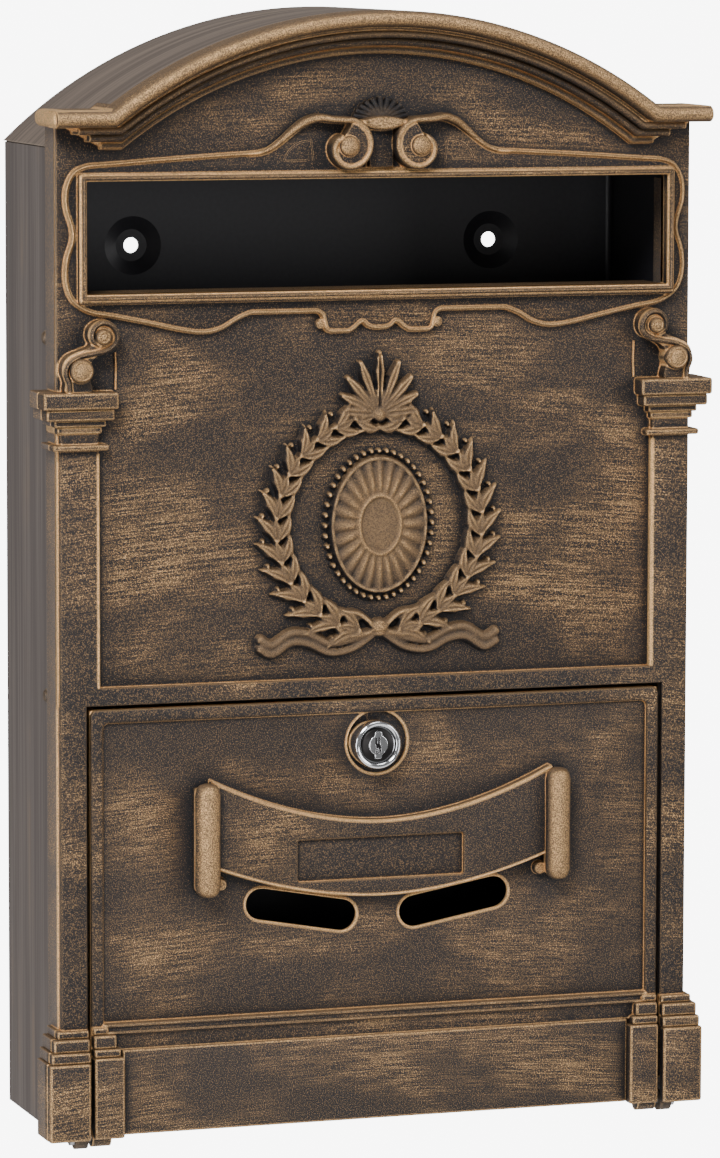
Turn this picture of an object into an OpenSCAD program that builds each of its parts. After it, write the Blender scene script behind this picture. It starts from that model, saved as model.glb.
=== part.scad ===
// Wall mounted mailbox: a cast front with a letter slot and a drop-down door,
// a sheet metal body with an arched roof, and a cam lock in the door.
// Millimetres. The design frame has x to the right, y from the pilaster face
// back to the wall, and z up from the underside of the plinths. in_frame()
// moves it to the part's own frame, whose origin is the centre of the wall
// hole pattern on the wall plane.

/* [Body] */
// Width of the sheet metal body
body_w = 241.4; // [238:0.2:242]
// Depth from the pilaster face to the rear sheet
body_d = 80.2; // [70:0.1:120]
// Height from the plinth's underside to the top of the arch
arch_top = 410; // [409:0.5:416]
// Outer radius of the arched roof
arch_r = 173; // [172:0.5:175]
// Thickness of the sheet metal
sheet_t = 1; // [0.8:0.1:1.2]
// Wall thickness of the castings
cast_t = 2.5; // [2:0.1:3]

/* [Wall holes] */
// Distance between the two columns of wall holes
hole_dx = 142; // [120:1:160]
// Distance between the two rows of wall holes
hole_dz = 280; // [220:1:290]
// Height of the upper row of wall holes
hole_top_z = 321.2; // [315:0.1:325]
// Radius of a wall hole
hole_r = 2.9; // [2.5:0.1:3.2]
// How far a wall hole's dimple stands out behind the body
dimple_h = 2.5; // [2:0.1:4]

/* [Letter slot] */
// Half width of the slot
slot_hw = 111.6; // [108:0.1:112]
// Height of the slot's lower edge
slot_z0 = 308.5; // [306:0.1:312]
// Height of the slot's upper edge
slot_z1 = 349.1; // [340:0.1:350]
// Depth of the shelf behind the slot
shelf_d = 22; // [15:0.5:26]

/* [Door] */
// Half width of the door opening
open_hw = 111.6; // [111.2:0.1:112]
// Height of the door opening's upper edge
open_z1 = 159.1; // [158:0.1:160]
// Gap between the door and the frame
door_gap = 1.4; // [1:0.1:2]
// Height of the hinge axis
hinge_z = 0; // [-0.5:0.1:0.5]
// Depth of the hinge axis behind the pilaster face
hinge_y = 3; // [2.5:0.1:4]
// Radius of a hinge pin
pin_r = 1.5; // [1.2:0.1:1.8]

/* [Lock] */
// Sideways place of the lock
lock_x = -2.7; // [-4:0.1:4]
// Height of the lock
lock_z = 141.5; // [138:0.1:142]
// Radius of the lock's front ring
lock_r = 9; // [8.5:0.1:10]
// Radius of the turning plug
plug_r = 6.4; // [6:0.1:6.8]
// Length of the cam from the plug's axis to its tip
cam_l = 28; // [24:0.5:32]

/* [Hidden] */
$fn = 64;
eps = 0.01;
fit = 0.05;

body_hw = body_w / 2;
wall_y = body_d + dimple_h;
hole_mid_z = hole_top_z - hole_dz / 2;
arch_cz = arch_top - arch_r;
seam_z = arch_cz + sqrt(arch_r * arch_r - body_hw * body_hw);

// Depths of the front's layers, from the most proud one back
roll_y = -13.1;
capital_y = -5.3;
plinth_y = -4.5;
frame_y = -3.5;
rail_y = 0;
field_y = 2.6;
field_back_y = field_y + cast_t;
sheet_y = 17.8;
roof_y0 = 0.6;
return_y = 17.5;
lip_y = 27;

// Half widths of the casting's layers
cast_hw = 121.9;
stile_in = 106.8;
stile_out = 121.4;
lip_out = body_hw - sheet_t;
shoulder_x = 103;
shoulder_z0 = 368.6;
shoulder_z1 = 374.8;
shoulder_hw = 126.1;

// The cornice's roll and the three beads under it:
// front depth, half width of the kicked end, its underside, inner radius
cornice = [
    [roll_y, shoulder_hw, shoulder_z0, arch_r - 6],
    [-8, 116.2, 366, arch_r - 10.4],
    [-4.7, 111.2, 363.3, arch_r - 13],
    [-1.2, 106, 360.5, arch_r - 15.6]
];

// Capital: inner and outer half width, front depth, underside, top
capital = [
    [100.6, 128.8, capital_y, 267.6, 273.6],
    [102, 127.3, -3.9, 263.4, 267.6],
    [105.4, 123, -1.2, 259.5, 263.4],
    [103.6, 124.6, -2.4, 252.3, 254.5]
];
capital_back_y = 15;

// Plinth steps: half width, front depth, underside, top
plinth = [
    [127.3, plinth_y, 0, 28.6],
    [126.3, -3.8, 28.6, 32.6],
    [125.4, -3, 32.6, 37.6],
    [123.6, -1.6, 37.6, 40.4]
];
plinth_back_y = 13.6;

// Door: its edges and the steps of its plinth blocks
door_hw = open_hw - door_gap;
door_z1 = open_z1 - door_gap;
door_z0 = 0.6;
recess_hw = 105.6;
recess_z0 = 41.9;
recess_z1 = 152.8;
recess_y = 1.5;
door_back_y = 4;
door_rim_y = 11;
kick_hw = 98.6;
kick_z1 = 32.3;
door_plinth = [
    [98.6, -3.5, 0, 30],
    [99.6, -2.9, 30, 33],
    [101.2, -2.2, 33, 38],
    [104, -1.2, 38, 41]
];

// Banner plaque on the door
banner_y = -3.2;
banner_hw = 64;
banner_r = 135.6;
banner_top_z = 113.2;
banner_low_z = 84.4;
scroll_x = 68;
scroll_y = -4;
scroll_r = 4.7;
scroll_z0 = 88;
scroll_z1 = 129;
scroll_h = scroll_z1 - scroll_z0;
name_hw = 32;
name_z0 = 91.5;
name_z1 = 106.5;
view_r = 6.2;
view_a = [-45.2, 83];
view_b = [-14.2, 77.6];

// Hinges
lug_r = 3.5;
eye_r = 4;
eye_in = 111.8;
eye_out = 116.4;
lug_in = 103;
pin_in = 103.6;
pin_head_out = 118.2;
floor_z = 1.2;
floor_y0 = 14;
bracket_t = 1.8;
bracket_y1 = 32;
bracket_rivet_y = 26;
rivet_r = 1.6;

// Lock
lock_face_y = -7.7;
spot_x = -0.4;
spot_r = 11.9;
spot_y = 2;
barrel_r = 8;
barrel_end_y = 16.2;
cam_y = 17;
cam_t = 2;
cam_w = 12;
tail_hw = 3;
web_y1 = 16.4;
web_z0 = 160.6;

// Rivets through the sheet sides into the casting's lip
side_rivet_y = 22;
side_rivet_zs = [160.9, 291.8];

module in_frame() {
    translate([0, -wall_y, -hole_mid_z]) children();
}

module both_sides() {
    children();
    mirror([1, 0, 0]) children();
}

// A box between two corners
module slab(x0, x1, y0, y1, z0, z1) {
    translate([x0, y0, z0]) cube([x1 - x0, y1 - y0, z1 - z0]);
}

// An outline drawn in x and z, standing from depth y0 back to y1
module upright(y0, y1) {
    translate([0, y1, 0]) rotate([90, 0, 0]) linear_extrude(y1 - y0) children();
}

// A round bar along y, centred on x and z
module bar_y(r, x, z, y0, y1) {
    translate([x, y0, z]) rotate([-90, 0, 0]) cylinder(h = y1 - y0, r = r);
}

// A round bar along x, centred on y and z
module bar_x(r, y, z, x0, x1) {
    translate([x0, y, z]) rotate([0, 90, 0]) cylinder(h = x1 - x0, r = r);
}

module rect(x0, x1, z0, z1) {
    translate([x0, z0]) square([x1 - x0, z1 - z0]);
}

// The part of an arch of radius r above height z and within half width hw
module arch_area(r, z, hw) {
    intersection() {
        translate([0, arch_cz]) circle(r = r, $fn = 180);
        rect(-hw, hw, z, arch_top + 1);
    }
}

// One band of the cornice: it follows the arch and kicks out flat at its ends
module cornice_band(band, y1) {
    front = band[0];
    end_hw = band[1];
    low_z = band[2];
    inner_r = band[3];
    upright(front, y1) difference() {
        union() {
            arch_area(arch_r, low_z, end_hw);
            rect(-end_hw, end_hw, low_z, low_z + 3);
        }
        translate([0, arch_cz]) circle(r = inner_r, $fn = 180);
    }
}

module cornice_all() {
    for (band = cornice) cornice_band(band, roof_y0 - 0.1);
    upright(roof_y0 - 0.2, field_back_y) difference() {
        arch_area(arch_r - sheet_t - fit, cornice[3][2], cornice[3][1]);
        translate([0, arch_cz]) circle(r = cornice[3][3], $fn = 180);
    }
    both_sides() {
        slab(shoulder_x, shoulder_hw, roll_y, field_back_y, shoulder_z0, shoulder_z1);
        slab(cast_hw - cast_t, shoulder_hw, field_y, return_y, shoulder_z0, shoulder_z1);
    }
}

// The pediment, the frieze round the slot and the panel: one flat field
module field() {
    upright(field_y, field_back_y) difference() {
        union() {
            rect(-cast_hw, cast_hw, open_z1, shoulder_z0 + 1);
            arch_area(arch_r - sheet_t - fit, shoulder_z0, cast_hw);
        }
        rect(-slot_hw, slot_hw, slot_z0, slot_z1);
    }
}

// Raised plate round the slot, with its two top scrolls
module cartouche() {
    upright(1.2, field_y + eps) difference() {
        union() {
            rect(-118.5, 118.5, 301, 355);
            polygon([
                [-48, 301], [48, 301], [52, 298], [67, 293.5], [100, 300], [100, 302],
                [-100, 302], [-100, 300], [-67, 293.5], [-52, 298]
            ]);
            rect(-21, 21, 294, 302);
            rect(-46, 46, 354, 359);
            both_sides() translate([18, 359]) circle(r = 11);
        }
        rect(-slot_hw, slot_hw, slot_z0, slot_z1);
    }
    both_sides() {
        bar_y(7.6, 13.8, 362, -5.4, field_y);
        bar_y(3.9, 13.8, 362, -7.7, field_y);
    }
}

module slot_frame() {
    upright(frame_y, field_back_y) difference() {
        rect(-slot_hw - 2.7, slot_hw + 2.7, slot_z0 - 3.5, slot_z1 + 2.7);
        rect(-slot_hw, slot_hw, slot_z0, slot_z1);
    }
    slab(-slot_hw, slot_hw, rail_y, shelf_d, slot_z0 - cast_t, slot_z0);
}

module pilaster() {
    slab(stile_in, stile_out, rail_y, field_y + eps, open_z1, 262);
    slab(open_hw, stile_out, rail_y, field_back_y, 10, open_z1 + 1);
    for (c = capital) {
        slab(c[0], c[1], c[2], field_y + eps, c[3], c[4]);
        slab(cast_hw - cast_t, c[1], field_y, capital_back_y, c[3], c[4]);
    }
    // The S shaped scroll over the capital
    bar_y(5.3, 106.4, 293.5, -4.6, field_y);
    bar_y(2.9, 106.4, 293.5, -6.8, field_y);
    bar_y(6, 114.5, 281.4, -4.6, field_y);
    bar_y(4.4, 114.5, 281.4, -6.8, field_y);
    upright(-3.6, field_y + eps) polygon([
        [102, 290], [112, 287.5], [119.8, 284], [119.8, 273], [110.6, 273], [110.6, 282], [106, 288]
    ]);
}

module plinth_outer() {
    for (p = plinth) {
        slab(open_hw, p[0], p[1], p[1] + 3.5, p[2], p[3]);
        slab(stile_out - 1, p[0], p[1], plinth_back_y, p[2], p[3]);
    }
}

// Side wall of the casting and the lip that the sheet body fits over
module cast_return() {
    slab(cast_hw - 3, cast_hw, field_y, return_y, 0, shoulder_z0 + 1);
    slab(lip_out - cast_t, lip_out, 10, lip_y, 4, seam_z - 14);
}

module arch_lip() {
    upright(field_y, lip_y) difference() {
        arch_area(arch_r - sheet_t - fit, 362, 115);
        translate([0, arch_cz]) circle(r = arch_r - sheet_t - fit - cast_t, $fn = 180);
    }
}

// Plain laurel wreath round an oval boss, with a palmette above and ribbon ends below
module crest() {
    crest_y = -1.2;
    wreath_z = 222;
    upright(crest_y, field_y + eps) {
        translate([0, wreath_z]) {
            scale([0.76, 1]) circle(r = 23);
            difference() {
                circle(r = 44);
                circle(r = 32);
            }
        }
        for (turn = [-70, -35, 0, 35, 70])
            translate([0, 261]) rotate(turn) scale([0.3, 1]) translate([0, 11.5]) circle(r = 11.5);
        both_sides() polygon([[0, 179], [24, 174], [42, 177], [45, 186], [26, 183], [0, 190]]);
    }
}

module front_casting() {
    color([0.36, 0.29, 0.21]) in_frame() difference() {
        union() {
            field();
            cornice_all();
            cartouche();
            slot_frame();
            arch_lip();
            crest();
            slab(-stile_in - 1, stile_in + 1, rail_y, field_back_y, open_z1, 165.7);
            slab(-lip_out + 1, lip_out - 1, field_y, web_y1, web_z0, web_z0 + cast_t);
            both_sides() {
                pilaster();
                plinth_outer();
                cast_return();
            }
        }
        for (z = side_rivet_zs) {
            bar_x(rivet_r, side_rivet_y, z, -body_hw, -lip_out + 5);
            bar_x(rivet_r, side_rivet_y, z, lip_out - 5, body_hw);
        }
    }
}

// The places of the four wall holes
module at_wall_holes() {
    for (x = [-hole_dx / 2, hole_dx / 2], z = [hole_mid_z - hole_dz / 2, hole_mid_z + hole_dz / 2])
        translate([x, body_d, z]) rotate([-90, 0, 0]) children();
}

// Back and sides: one sheet bent twice, with dimples pressed out for the screws
module body_shell() {
    bend_r = 3;
    dimple_r0 = 12;
    dimple_r1 = 7;
    color([0.42, 0.38, 0.35]) in_frame() difference() {
        union() {
            both_sides() {
                slab(lip_out, body_hw, sheet_y, body_d - bend_r, 0, seam_z - 0.4);
                translate([body_hw - bend_r, body_d - bend_r, 0]) linear_extrude(seam_z - 0.4) {
                    difference() {
                        intersection() {
                            circle(r = bend_r);
                            square(bend_r);
                        }
                        circle(r = bend_r - sheet_t);
                    }
                }
            }
            slab(-body_hw + bend_r, body_hw - bend_r, body_d - sheet_t, body_d, 0, seam_z - 0.4);
            upright(body_d - sheet_t, body_d) arch_area(arch_r - sheet_t - fit, seam_z - 0.5, lip_out - 0.2);
            at_wall_holes() cylinder(h = dimple_h, r1 = dimple_r0, r2 = dimple_r1);
        }
        at_wall_holes() {
            translate([0, 0, -sheet_t]) cylinder(h = dimple_h, r1 = dimple_r0 - sheet_t, r2 = dimple_r1 - sheet_t);
            translate([0, 0, -5]) cylinder(h = 10, r = hole_r);
        }
        for (z = side_rivet_zs) bar_x(rivet_r, side_rivet_y, z, -body_hw - 1, body_hw + 1);
    }
}

// Arched roof, notched round the cornice's ends, with a flange down each side
module roof_sheet() {
    color([0.45, 0.41, 0.37]) in_frame() {
        difference() {
            upright(roof_y0, body_d) difference() {
                arch_area(arch_r, seam_z, body_hw);
                translate([0, arch_cz]) circle(r = arch_r - sheet_t, $fn = 180);
            }
            both_sides() slab(shoulder_x - 1, body_hw + 1, 0, sheet_y, seam_z - 1, shoulder_z1 + 2);
        }
        both_sides() slab(lip_out - sheet_t - 0.1, lip_out - 0.1, sheet_y, body_d - 4, seam_z - 11, seam_z + 0.6);
    }
}

// Floor tray with its edges turned up inside the body
module floor_pan() {
    flange_h = 9;
    pan_hw = lip_out - 0.1;
    color([0.2, 0.19, 0.18]) in_frame() difference() {
        union() {
            slab(-pan_hw, pan_hw, floor_y0, body_d - sheet_t - 0.1, floor_z, floor_z + sheet_t);
            both_sides() slab(pan_hw - sheet_t, pan_hw, lip_y + 0.5, body_d - 4, floor_z, floor_z + flange_h);
            slab(-pan_hw + 4, pan_hw - 4, body_d - 2 * sheet_t - 0.1, body_d - sheet_t - 0.1, floor_z, floor_z + flange_h);
            slab(-open_hw + 4, open_hw - 4, floor_y0, floor_y0 + sheet_t, floor_z, floor_z + flange_h);
        }
        both_sides() {
            slab(lip_out - cast_t - 0.2, body_hw, 0, lip_y + 0.2, 0, 20);
            translate([(eye_in + eye_out) / 2, bracket_rivet_y, 0]) cylinder(h = 10, r = rivet_r);
        }
    }
}

module side_rivets() {
    dome_r = 2.8;
    dome_h = 1.1;
    color([0.5, 0.42, 0.34]) in_frame() both_sides() {
        for (z = side_rivet_zs) {
            bar_x(rivet_r, side_rivet_y, z, lip_out - cast_t - 1.5, body_hw + 0.2);
            bar_x(rivet_r + 0.7, side_rivet_y, z, lip_out - cast_t - 1.6, lip_out - cast_t);
            translate([body_hw, side_rivet_y, z]) rotate([0, 90, 0]) cylinder(h = dome_h, r1 = dome_r, r2 = 1.7);
        }
    }
}

// Steel strap under the floor that ends in an eye for the hinge pin
module hinge_bracket() {
    color([0.3, 0.26, 0.21]) difference() {
        union() {
            bar_x(eye_r, hinge_y, hinge_z, eye_in, eye_out);
            slab(eye_in, eye_out, hinge_y, bracket_y1, floor_z - bracket_t, floor_z);
        }
        bar_x(pin_r + fit, hinge_y, hinge_z, eye_in - 1, eye_out + 1);
        translate([(eye_in + eye_out) / 2, bracket_rivet_y, -5]) cylinder(h = 10, r = rivet_r);
    }
}

module hinge_bracket_left() {
    in_frame() mirror([1, 0, 0]) hinge_bracket();
}

module hinge_bracket_right() {
    in_frame() hinge_bracket();
}

module bracket_rivets() {
    color([0.55, 0.5, 0.45]) in_frame() both_sides() translate([(eye_in + eye_out) / 2, bracket_rivet_y, 0]) {
        translate([0, 0, floor_z - bracket_t - 0.5]) cylinder(h = bracket_t + sheet_t + 1, r = rivet_r);
        translate([0, 0, floor_z + sheet_t]) cylinder(h = 0.9, r1 = 2.2, r2 = 1.5);
        translate([0, 0, floor_z - bracket_t - 0.9]) cylinder(h = 0.9, r1 = 1.5, r2 = 2.2);
    }
}

module hinge_pin() {
    color([0.6, 0.6, 0.6]) {
        bar_x(pin_r, hinge_y, hinge_z, pin_in, pin_head_out);
        bar_x(pin_r + 1, hinge_y, hinge_z, eye_out + 0.2, pin_head_out);
    }
}

module hinge_pin_left() {
    in_frame() mirror([1, 0, 0]) hinge_pin();
}

module hinge_pin_right() {
    in_frame() hinge_pin();
}

// Slanted round-ended window that shows whether there is post inside
module view_slot() {
    dx = view_b[0] - view_a[0];
    dz = view_b[1] - view_a[1];
    half = view_r - 0.15;
    upright(-10, 20) {
        translate(view_a) circle(r = view_r);
        translate(view_b) circle(r = view_r);
        translate(view_a) rotate(atan2(dz, dx)) translate([0, -half]) square([sqrt(dx * dx + dz * dz), 2 * half]);
    }
}

// Plaque: a curved ribbon between two rolled ends
module banner() {
    upright(banner_y, recess_y + eps) difference() {
        rect(-banner_hw, banner_hw, banner_low_z, scroll_z1);
        translate([0, banner_top_z + banner_r]) circle(r = banner_r, $fn = 180);
        difference() {
            rect(-banner_hw - 1, banner_hw + 1, banner_low_z - 1, 98);
            translate([0, banner_low_z + banner_r + 30]) circle(r = banner_r + 30, $fn = 180);
        }
    }
    both_sides() {
        translate([scroll_x, scroll_y, scroll_z0]) rotate_extrude() polygon([
            [0, 0], [scroll_r / 2, 0], [scroll_r, scroll_r / 2], [scroll_r, scroll_h - scroll_r / 2],
            [scroll_r / 2, scroll_h], [0, scroll_h]
        ]);
        slab(scroll_x - 3, scroll_x + 3, scroll_y, recess_y + eps, scroll_z0 + 3, scroll_z1 - 3);
    }
}

module door_casting() {
    color([0.38, 0.31, 0.22]) in_frame() difference() {
        union() {
            slab(-door_hw, door_hw, recess_y, door_back_y, door_z0, door_z1);
            slab(-door_hw, door_hw, rail_y, recess_y + eps, recess_z1, door_z1);
            slab(-kick_hw, kick_hw, rail_y, recess_y + eps, door_z0, kick_z1);
            slab(-recess_hw, recess_hw, 0.3, recess_y + eps, 38.2, recess_z0);
            banner();
            both_sides() {
                slab(recess_hw, door_hw, rail_y, recess_y + eps, 38, door_z1);
                for (p = door_plinth) slab(p[0], door_hw - 0.2, p[1], recess_y + eps, p[2] + 0.2, p[3] + 0.2);
                slab(door_hw - cast_t, door_hw, recess_y, door_rim_y, 8, door_z1);
                bar_x(lug_r, hinge_y, hinge_z, lug_in, door_hw);
            }
            slab(-door_hw, door_hw, recess_y, door_rim_y, door_z1 - cast_t, door_z1);
            slab(-kick_hw, kick_hw, recess_y, 8, 12, 12 + cast_t);
        }
        upright(banner_y - 1, banner_y + 1) rect(-name_hw, name_hw, name_z0, name_z1);
        both_sides() view_slot();
        bar_y(spot_r, spot_x, lock_z, -2, spot_y);
        bar_y(barrel_r + 0.1, lock_x, lock_z, -10, 30);
        both_sides() bar_x(pin_r + fit, hinge_y, hinge_z, lug_in - 1, door_hw + 1);
    }
}

// Lock housing: chrome ring in front, threaded body through the door
module lock_barrel() {
    color([0.8, 0.8, 0.82]) in_frame() difference() {
        union() {
            bar_y(lock_r, lock_x, lock_z, lock_face_y, spot_y);
            bar_y(barrel_r, lock_x, lock_z, spot_y - 0.5, barrel_end_y);
        }
        bar_y(plug_r + fit, lock_x, lock_z, lock_face_y - 1, barrel_end_y + 1);
    }
}

module lock_nut() {
    nut_r = 12.4;
    color([0.7, 0.7, 0.72]) in_frame() difference() {
        translate([lock_x, door_back_y, lock_z]) rotate([-90, 0, 0]) cylinder(h = 4, r = nut_r, $fn = 6);
        bar_y(barrel_r, lock_x, lock_z, 0, 20);
    }
}

// Turning plug with the key slot in front and a square tail for the cam
module lock_plug() {
    face_y = lock_face_y + 0.5;
    color([0.25, 0.25, 0.26]) in_frame() difference() {
        union() {
            bar_y(plug_r, lock_x, lock_z, face_y, barrel_end_y);
            bar_y(3.4, lock_x, lock_z, lock_face_y, face_y + eps);
            slab(lock_x - tail_hw, lock_x + tail_hw, barrel_end_y - eps, cam_y + cam_t, lock_z - tail_hw, lock_z + tail_hw);
        }
        slab(lock_x - 0.6, lock_x + 0.6, lock_face_y - 1, 8, lock_z - 3, lock_z + 3);
        bar_y(1.6, lock_x, lock_z, 10, 30);
    }
}

module cam_washer() {
    color([0.7, 0.7, 0.7]) in_frame() difference() {
        bar_y(7.6, lock_x, lock_z, barrel_end_y + 0.1, cam_y);
        slab(lock_x - tail_hw, lock_x + tail_hw, 10, 30, lock_z - tail_hw, lock_z + tail_hw);
    }
}

// Flat cam, pointing sideways when the lock is open
module lock_cam() {
    color([0.72, 0.72, 0.74]) in_frame() difference() {
        union() {
            bar_y(cam_w / 2, lock_x, lock_z, cam_y, cam_y + cam_t);
            bar_y(cam_w / 2, lock_x - cam_l + cam_w / 2, lock_z, cam_y, cam_y + cam_t);
            slab(lock_x - cam_l + cam_w / 2, lock_x, cam_y, cam_y + cam_t, lock_z - cam_w / 2, lock_z + cam_w / 2);
        }
        slab(lock_x - tail_hw, lock_x + tail_hw, 10, 30, lock_z - tail_hw, lock_z + tail_hw);
    }
}

module cam_screw() {
    head_r = 5;
    head_y = cam_y + cam_t;
    color([0.75, 0.75, 0.76]) in_frame() difference() {
        union() {
            bar_y(1.6, lock_x, lock_z, 11, head_y + eps);
            bar_y(head_r, lock_x, lock_z, head_y, head_y + 1.4);
            translate([lock_x, head_y + 1.4, lock_z]) rotate([-90, 0, 0]) cylinder(h = 1, r1 = head_r, r2 = head_r - 1.2);
        }
        slab(lock_x - 3, lock_x + 3, head_y + 1.2, head_y + 3, lock_z - 0.5, lock_z + 0.5);
        slab(lock_x - 0.5, lock_x + 0.5, head_y + 1.2, head_y + 3, lock_z - 3, lock_z + 3);
    }
}

front_casting();
body_shell();
roof_sheet();
floor_pan();
side_rivets();
hinge_bracket_left();
hinge_bracket_right();
bracket_rivets();
hinge_pin_left();
hinge_pin_right();
door_casting();
lock_barrel();
lock_nut();
lock_plug();
cam_washer();
lock_cam();
cam_screw();
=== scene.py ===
"""Looks of the wall mounted mailbox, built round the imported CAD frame.

Outlines are drawn in the design frame of the part, in millimetres: x to the
right, y from the pilaster face back to the wall, z up from the underside of
the plinths. place() turns them into the row frame, in metres.
"""
import math

import bmesh
import bpy
import numpy as np
from mathutils import Matrix, Vector


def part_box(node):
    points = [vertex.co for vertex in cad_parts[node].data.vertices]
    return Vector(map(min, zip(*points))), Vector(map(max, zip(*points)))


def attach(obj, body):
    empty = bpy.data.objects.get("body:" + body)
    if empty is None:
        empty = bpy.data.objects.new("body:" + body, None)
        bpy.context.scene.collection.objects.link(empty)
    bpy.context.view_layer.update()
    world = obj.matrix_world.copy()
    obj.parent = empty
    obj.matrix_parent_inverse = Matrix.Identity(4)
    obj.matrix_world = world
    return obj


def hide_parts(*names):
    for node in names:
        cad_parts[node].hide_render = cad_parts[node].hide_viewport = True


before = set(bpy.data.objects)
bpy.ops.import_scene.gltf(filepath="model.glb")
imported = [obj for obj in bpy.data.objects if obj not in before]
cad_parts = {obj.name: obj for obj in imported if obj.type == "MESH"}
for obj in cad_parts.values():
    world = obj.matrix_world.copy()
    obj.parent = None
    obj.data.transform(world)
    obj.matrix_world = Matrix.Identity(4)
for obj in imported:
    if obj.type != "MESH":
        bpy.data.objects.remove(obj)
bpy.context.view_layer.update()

# ---- sizes, mm

MM = 0.001
ROLL_Y = -13.1           # front of the cornice's roll, the front-most CAD face
cast_low, cast_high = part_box("front_casting")
Y_ZERO = cast_low.y / MM - ROLL_Y     # row depth of the pilaster face
Z_ZERO = cast_low.z / MM              # row height of the plinths' underside

shell_low, shell_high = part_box("body_shell")
BODY_HW = shell_high.x / MM
ARCH_TOP = cast_high.z / MM - Z_ZERO
ARCH_R = 173.0
ARCH_CZ = ARCH_TOP - ARCH_R
SHEET_T = 1.0
SHEET_Y = shell_low.y / MM - Y_ZERO

FIELD_Y = 2.6
FIELD_BACK = 5.1
CAST_HW = 121.9
STILE_IN = 106.8
STILE_OUT = 121.4
LIP_OUT = BODY_HW - SHEET_T
OPEN_HW = 111.6
OPEN_Z = 159.1
SLOT_HW = 111.6
SLOT_Z0 = 308.5
SLOT_Z1 = 349.1
SHELF_Y = 22.0
SHOULDER_X = 103.0
SHOULDER_Z0 = 368.6
SHOULDER_Z1 = 374.8
SHOULDER_HW = 126.1
RETURN_Y = 17.5
PANEL_HW = 107.2
PANEL_Z0 = 165.7

DOOR_HW = 110.2
DOOR_Z0 = 0.6
DOOR_Z1 = 157.7
RECESS_HW = 105.6
RECESS_Z1 = 152.8
RECESS_Y = 1.5
DOOR_BACK = 4.0
DOOR_RIM = 11.0
KICK_HW = 98.6
KICK_Z1 = 32.3

barrel_low, barrel_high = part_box("lock_barrel")
LOCK_X = (barrel_low.x + barrel_high.x) / 2 / MM
LOCK_Z = (barrel_low.z + barrel_high.z) / 2 / MM - Z_ZERO
LOCK_FACE = barrel_low.y / MM - Y_ZERO
LOCK_R = (barrel_high.x - barrel_low.x) / 2 / MM


def depth(y):
    """A design frame depth in mm, as a row frame depth in metres."""
    return (y + Y_ZERO) * MM


def place(point):
    """A design frame point in mm, as a row frame point in metres."""
    x, y, z = point
    return (x * MM, depth(y), (z + Z_ZERO) * MM)


# ---- outlines, in x and z

def arc(cx, cz, r, start, end, steps=24):
    """Points on a circle, from one angle to another in degrees."""
    turns = np.radians(np.linspace(start, end, steps + 1))
    return [(cx + r * math.cos(t), cz + r * math.sin(t)) for t in turns]


def smooth(points, steps=6, closed=False):
    """A Catmull-Rom curve through the points."""
    pts = [np.array(p, float) for p in points]
    count = len(pts)
    out = []
    for i in range(count if closed else count - 1):
        if closed:
            p0, p1, p2, p3 = (pts[(i + k - 1) % count] for k in range(4))
        else:
            p0, p1, p2, p3 = (pts[min(max(i + k - 1, 0), count - 1)] for k in range(4))
        for s in range(steps):
            t = s / steps
            out.append(tuple(0.5 * (2 * p1 + (p2 - p0) * t + (2 * p0 - 5 * p1 + 4 * p2 - p3) * t * t
                                    + (3 * p1 - p0 - 3 * p2 + p3) * t ** 3)))
    if not closed:
        out.append(tuple(pts[-1]))
    return out


def rect(x0, x1, z0, z1, r=0.0):
    """A rectangle, anticlockwise, with round corners of radius r."""
    if r <= 0:
        return [(x0, z0), (x1, z0), (x1, z1), (x0, z1)]
    return (arc(x1 - r, z0 + r, r, -90, 0, 5) + arc(x1 - r, z1 - r, r, 0, 90, 5)
            + arc(x0 + r, z1 - r, r, 90, 180, 5) + arc(x0 + r, z0 + r, r, 180, 270, 5))


def mirrored(points):
    return [(-x, z) for x, z in reversed(points)]


def flip(points, side):
    """The points, mirrored when side is -1."""
    return [(side * x, z) for x, z in points]


def across(side, a, b):
    """The x limits of a block on one side of the middle, the smaller first."""
    return sorted((side * a, side * b))


def signed_area(points):
    pts = np.array(points)
    nxt = np.roll(pts, -1, 0)
    return 0.5 * float((pts[:, 0] * nxt[:, 1] - nxt[:, 0] * pts[:, 1]).sum())


def anticlockwise(points):
    return points if signed_area(points) > 0 else points[::-1]


def normals(points, closed=True):
    """The mitred left-hand normal at each point of an outline."""
    pts = np.array(points, float)
    step = np.roll(pts, -1, 0) - pts
    step /= np.maximum(np.linalg.norm(step, axis=1, keepdims=True), 1e-9)
    before = np.roll(step, 1, 0)
    if not closed:
        before[0] = step[0]
        step[-1] = before[-1]
    left = np.stack([-step[:, 1], step[:, 0]], 1)
    left_before = np.stack([-before[:, 1], before[:, 0]], 1)
    both = left + left_before
    both /= np.maximum(np.linalg.norm(both, axis=1, keepdims=True), 1e-9)
    cosine = np.clip((both * left).sum(1), 0.45, 1)
    return both / cosine[:, None]


def inset(points, distance):
    """A closed outline moved to its left by distance: inwards if it is anticlockwise."""
    moved = np.array(points, float) + normals(points) * distance
    return [tuple(p) for p in moved]


# ---- mesh building

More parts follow.
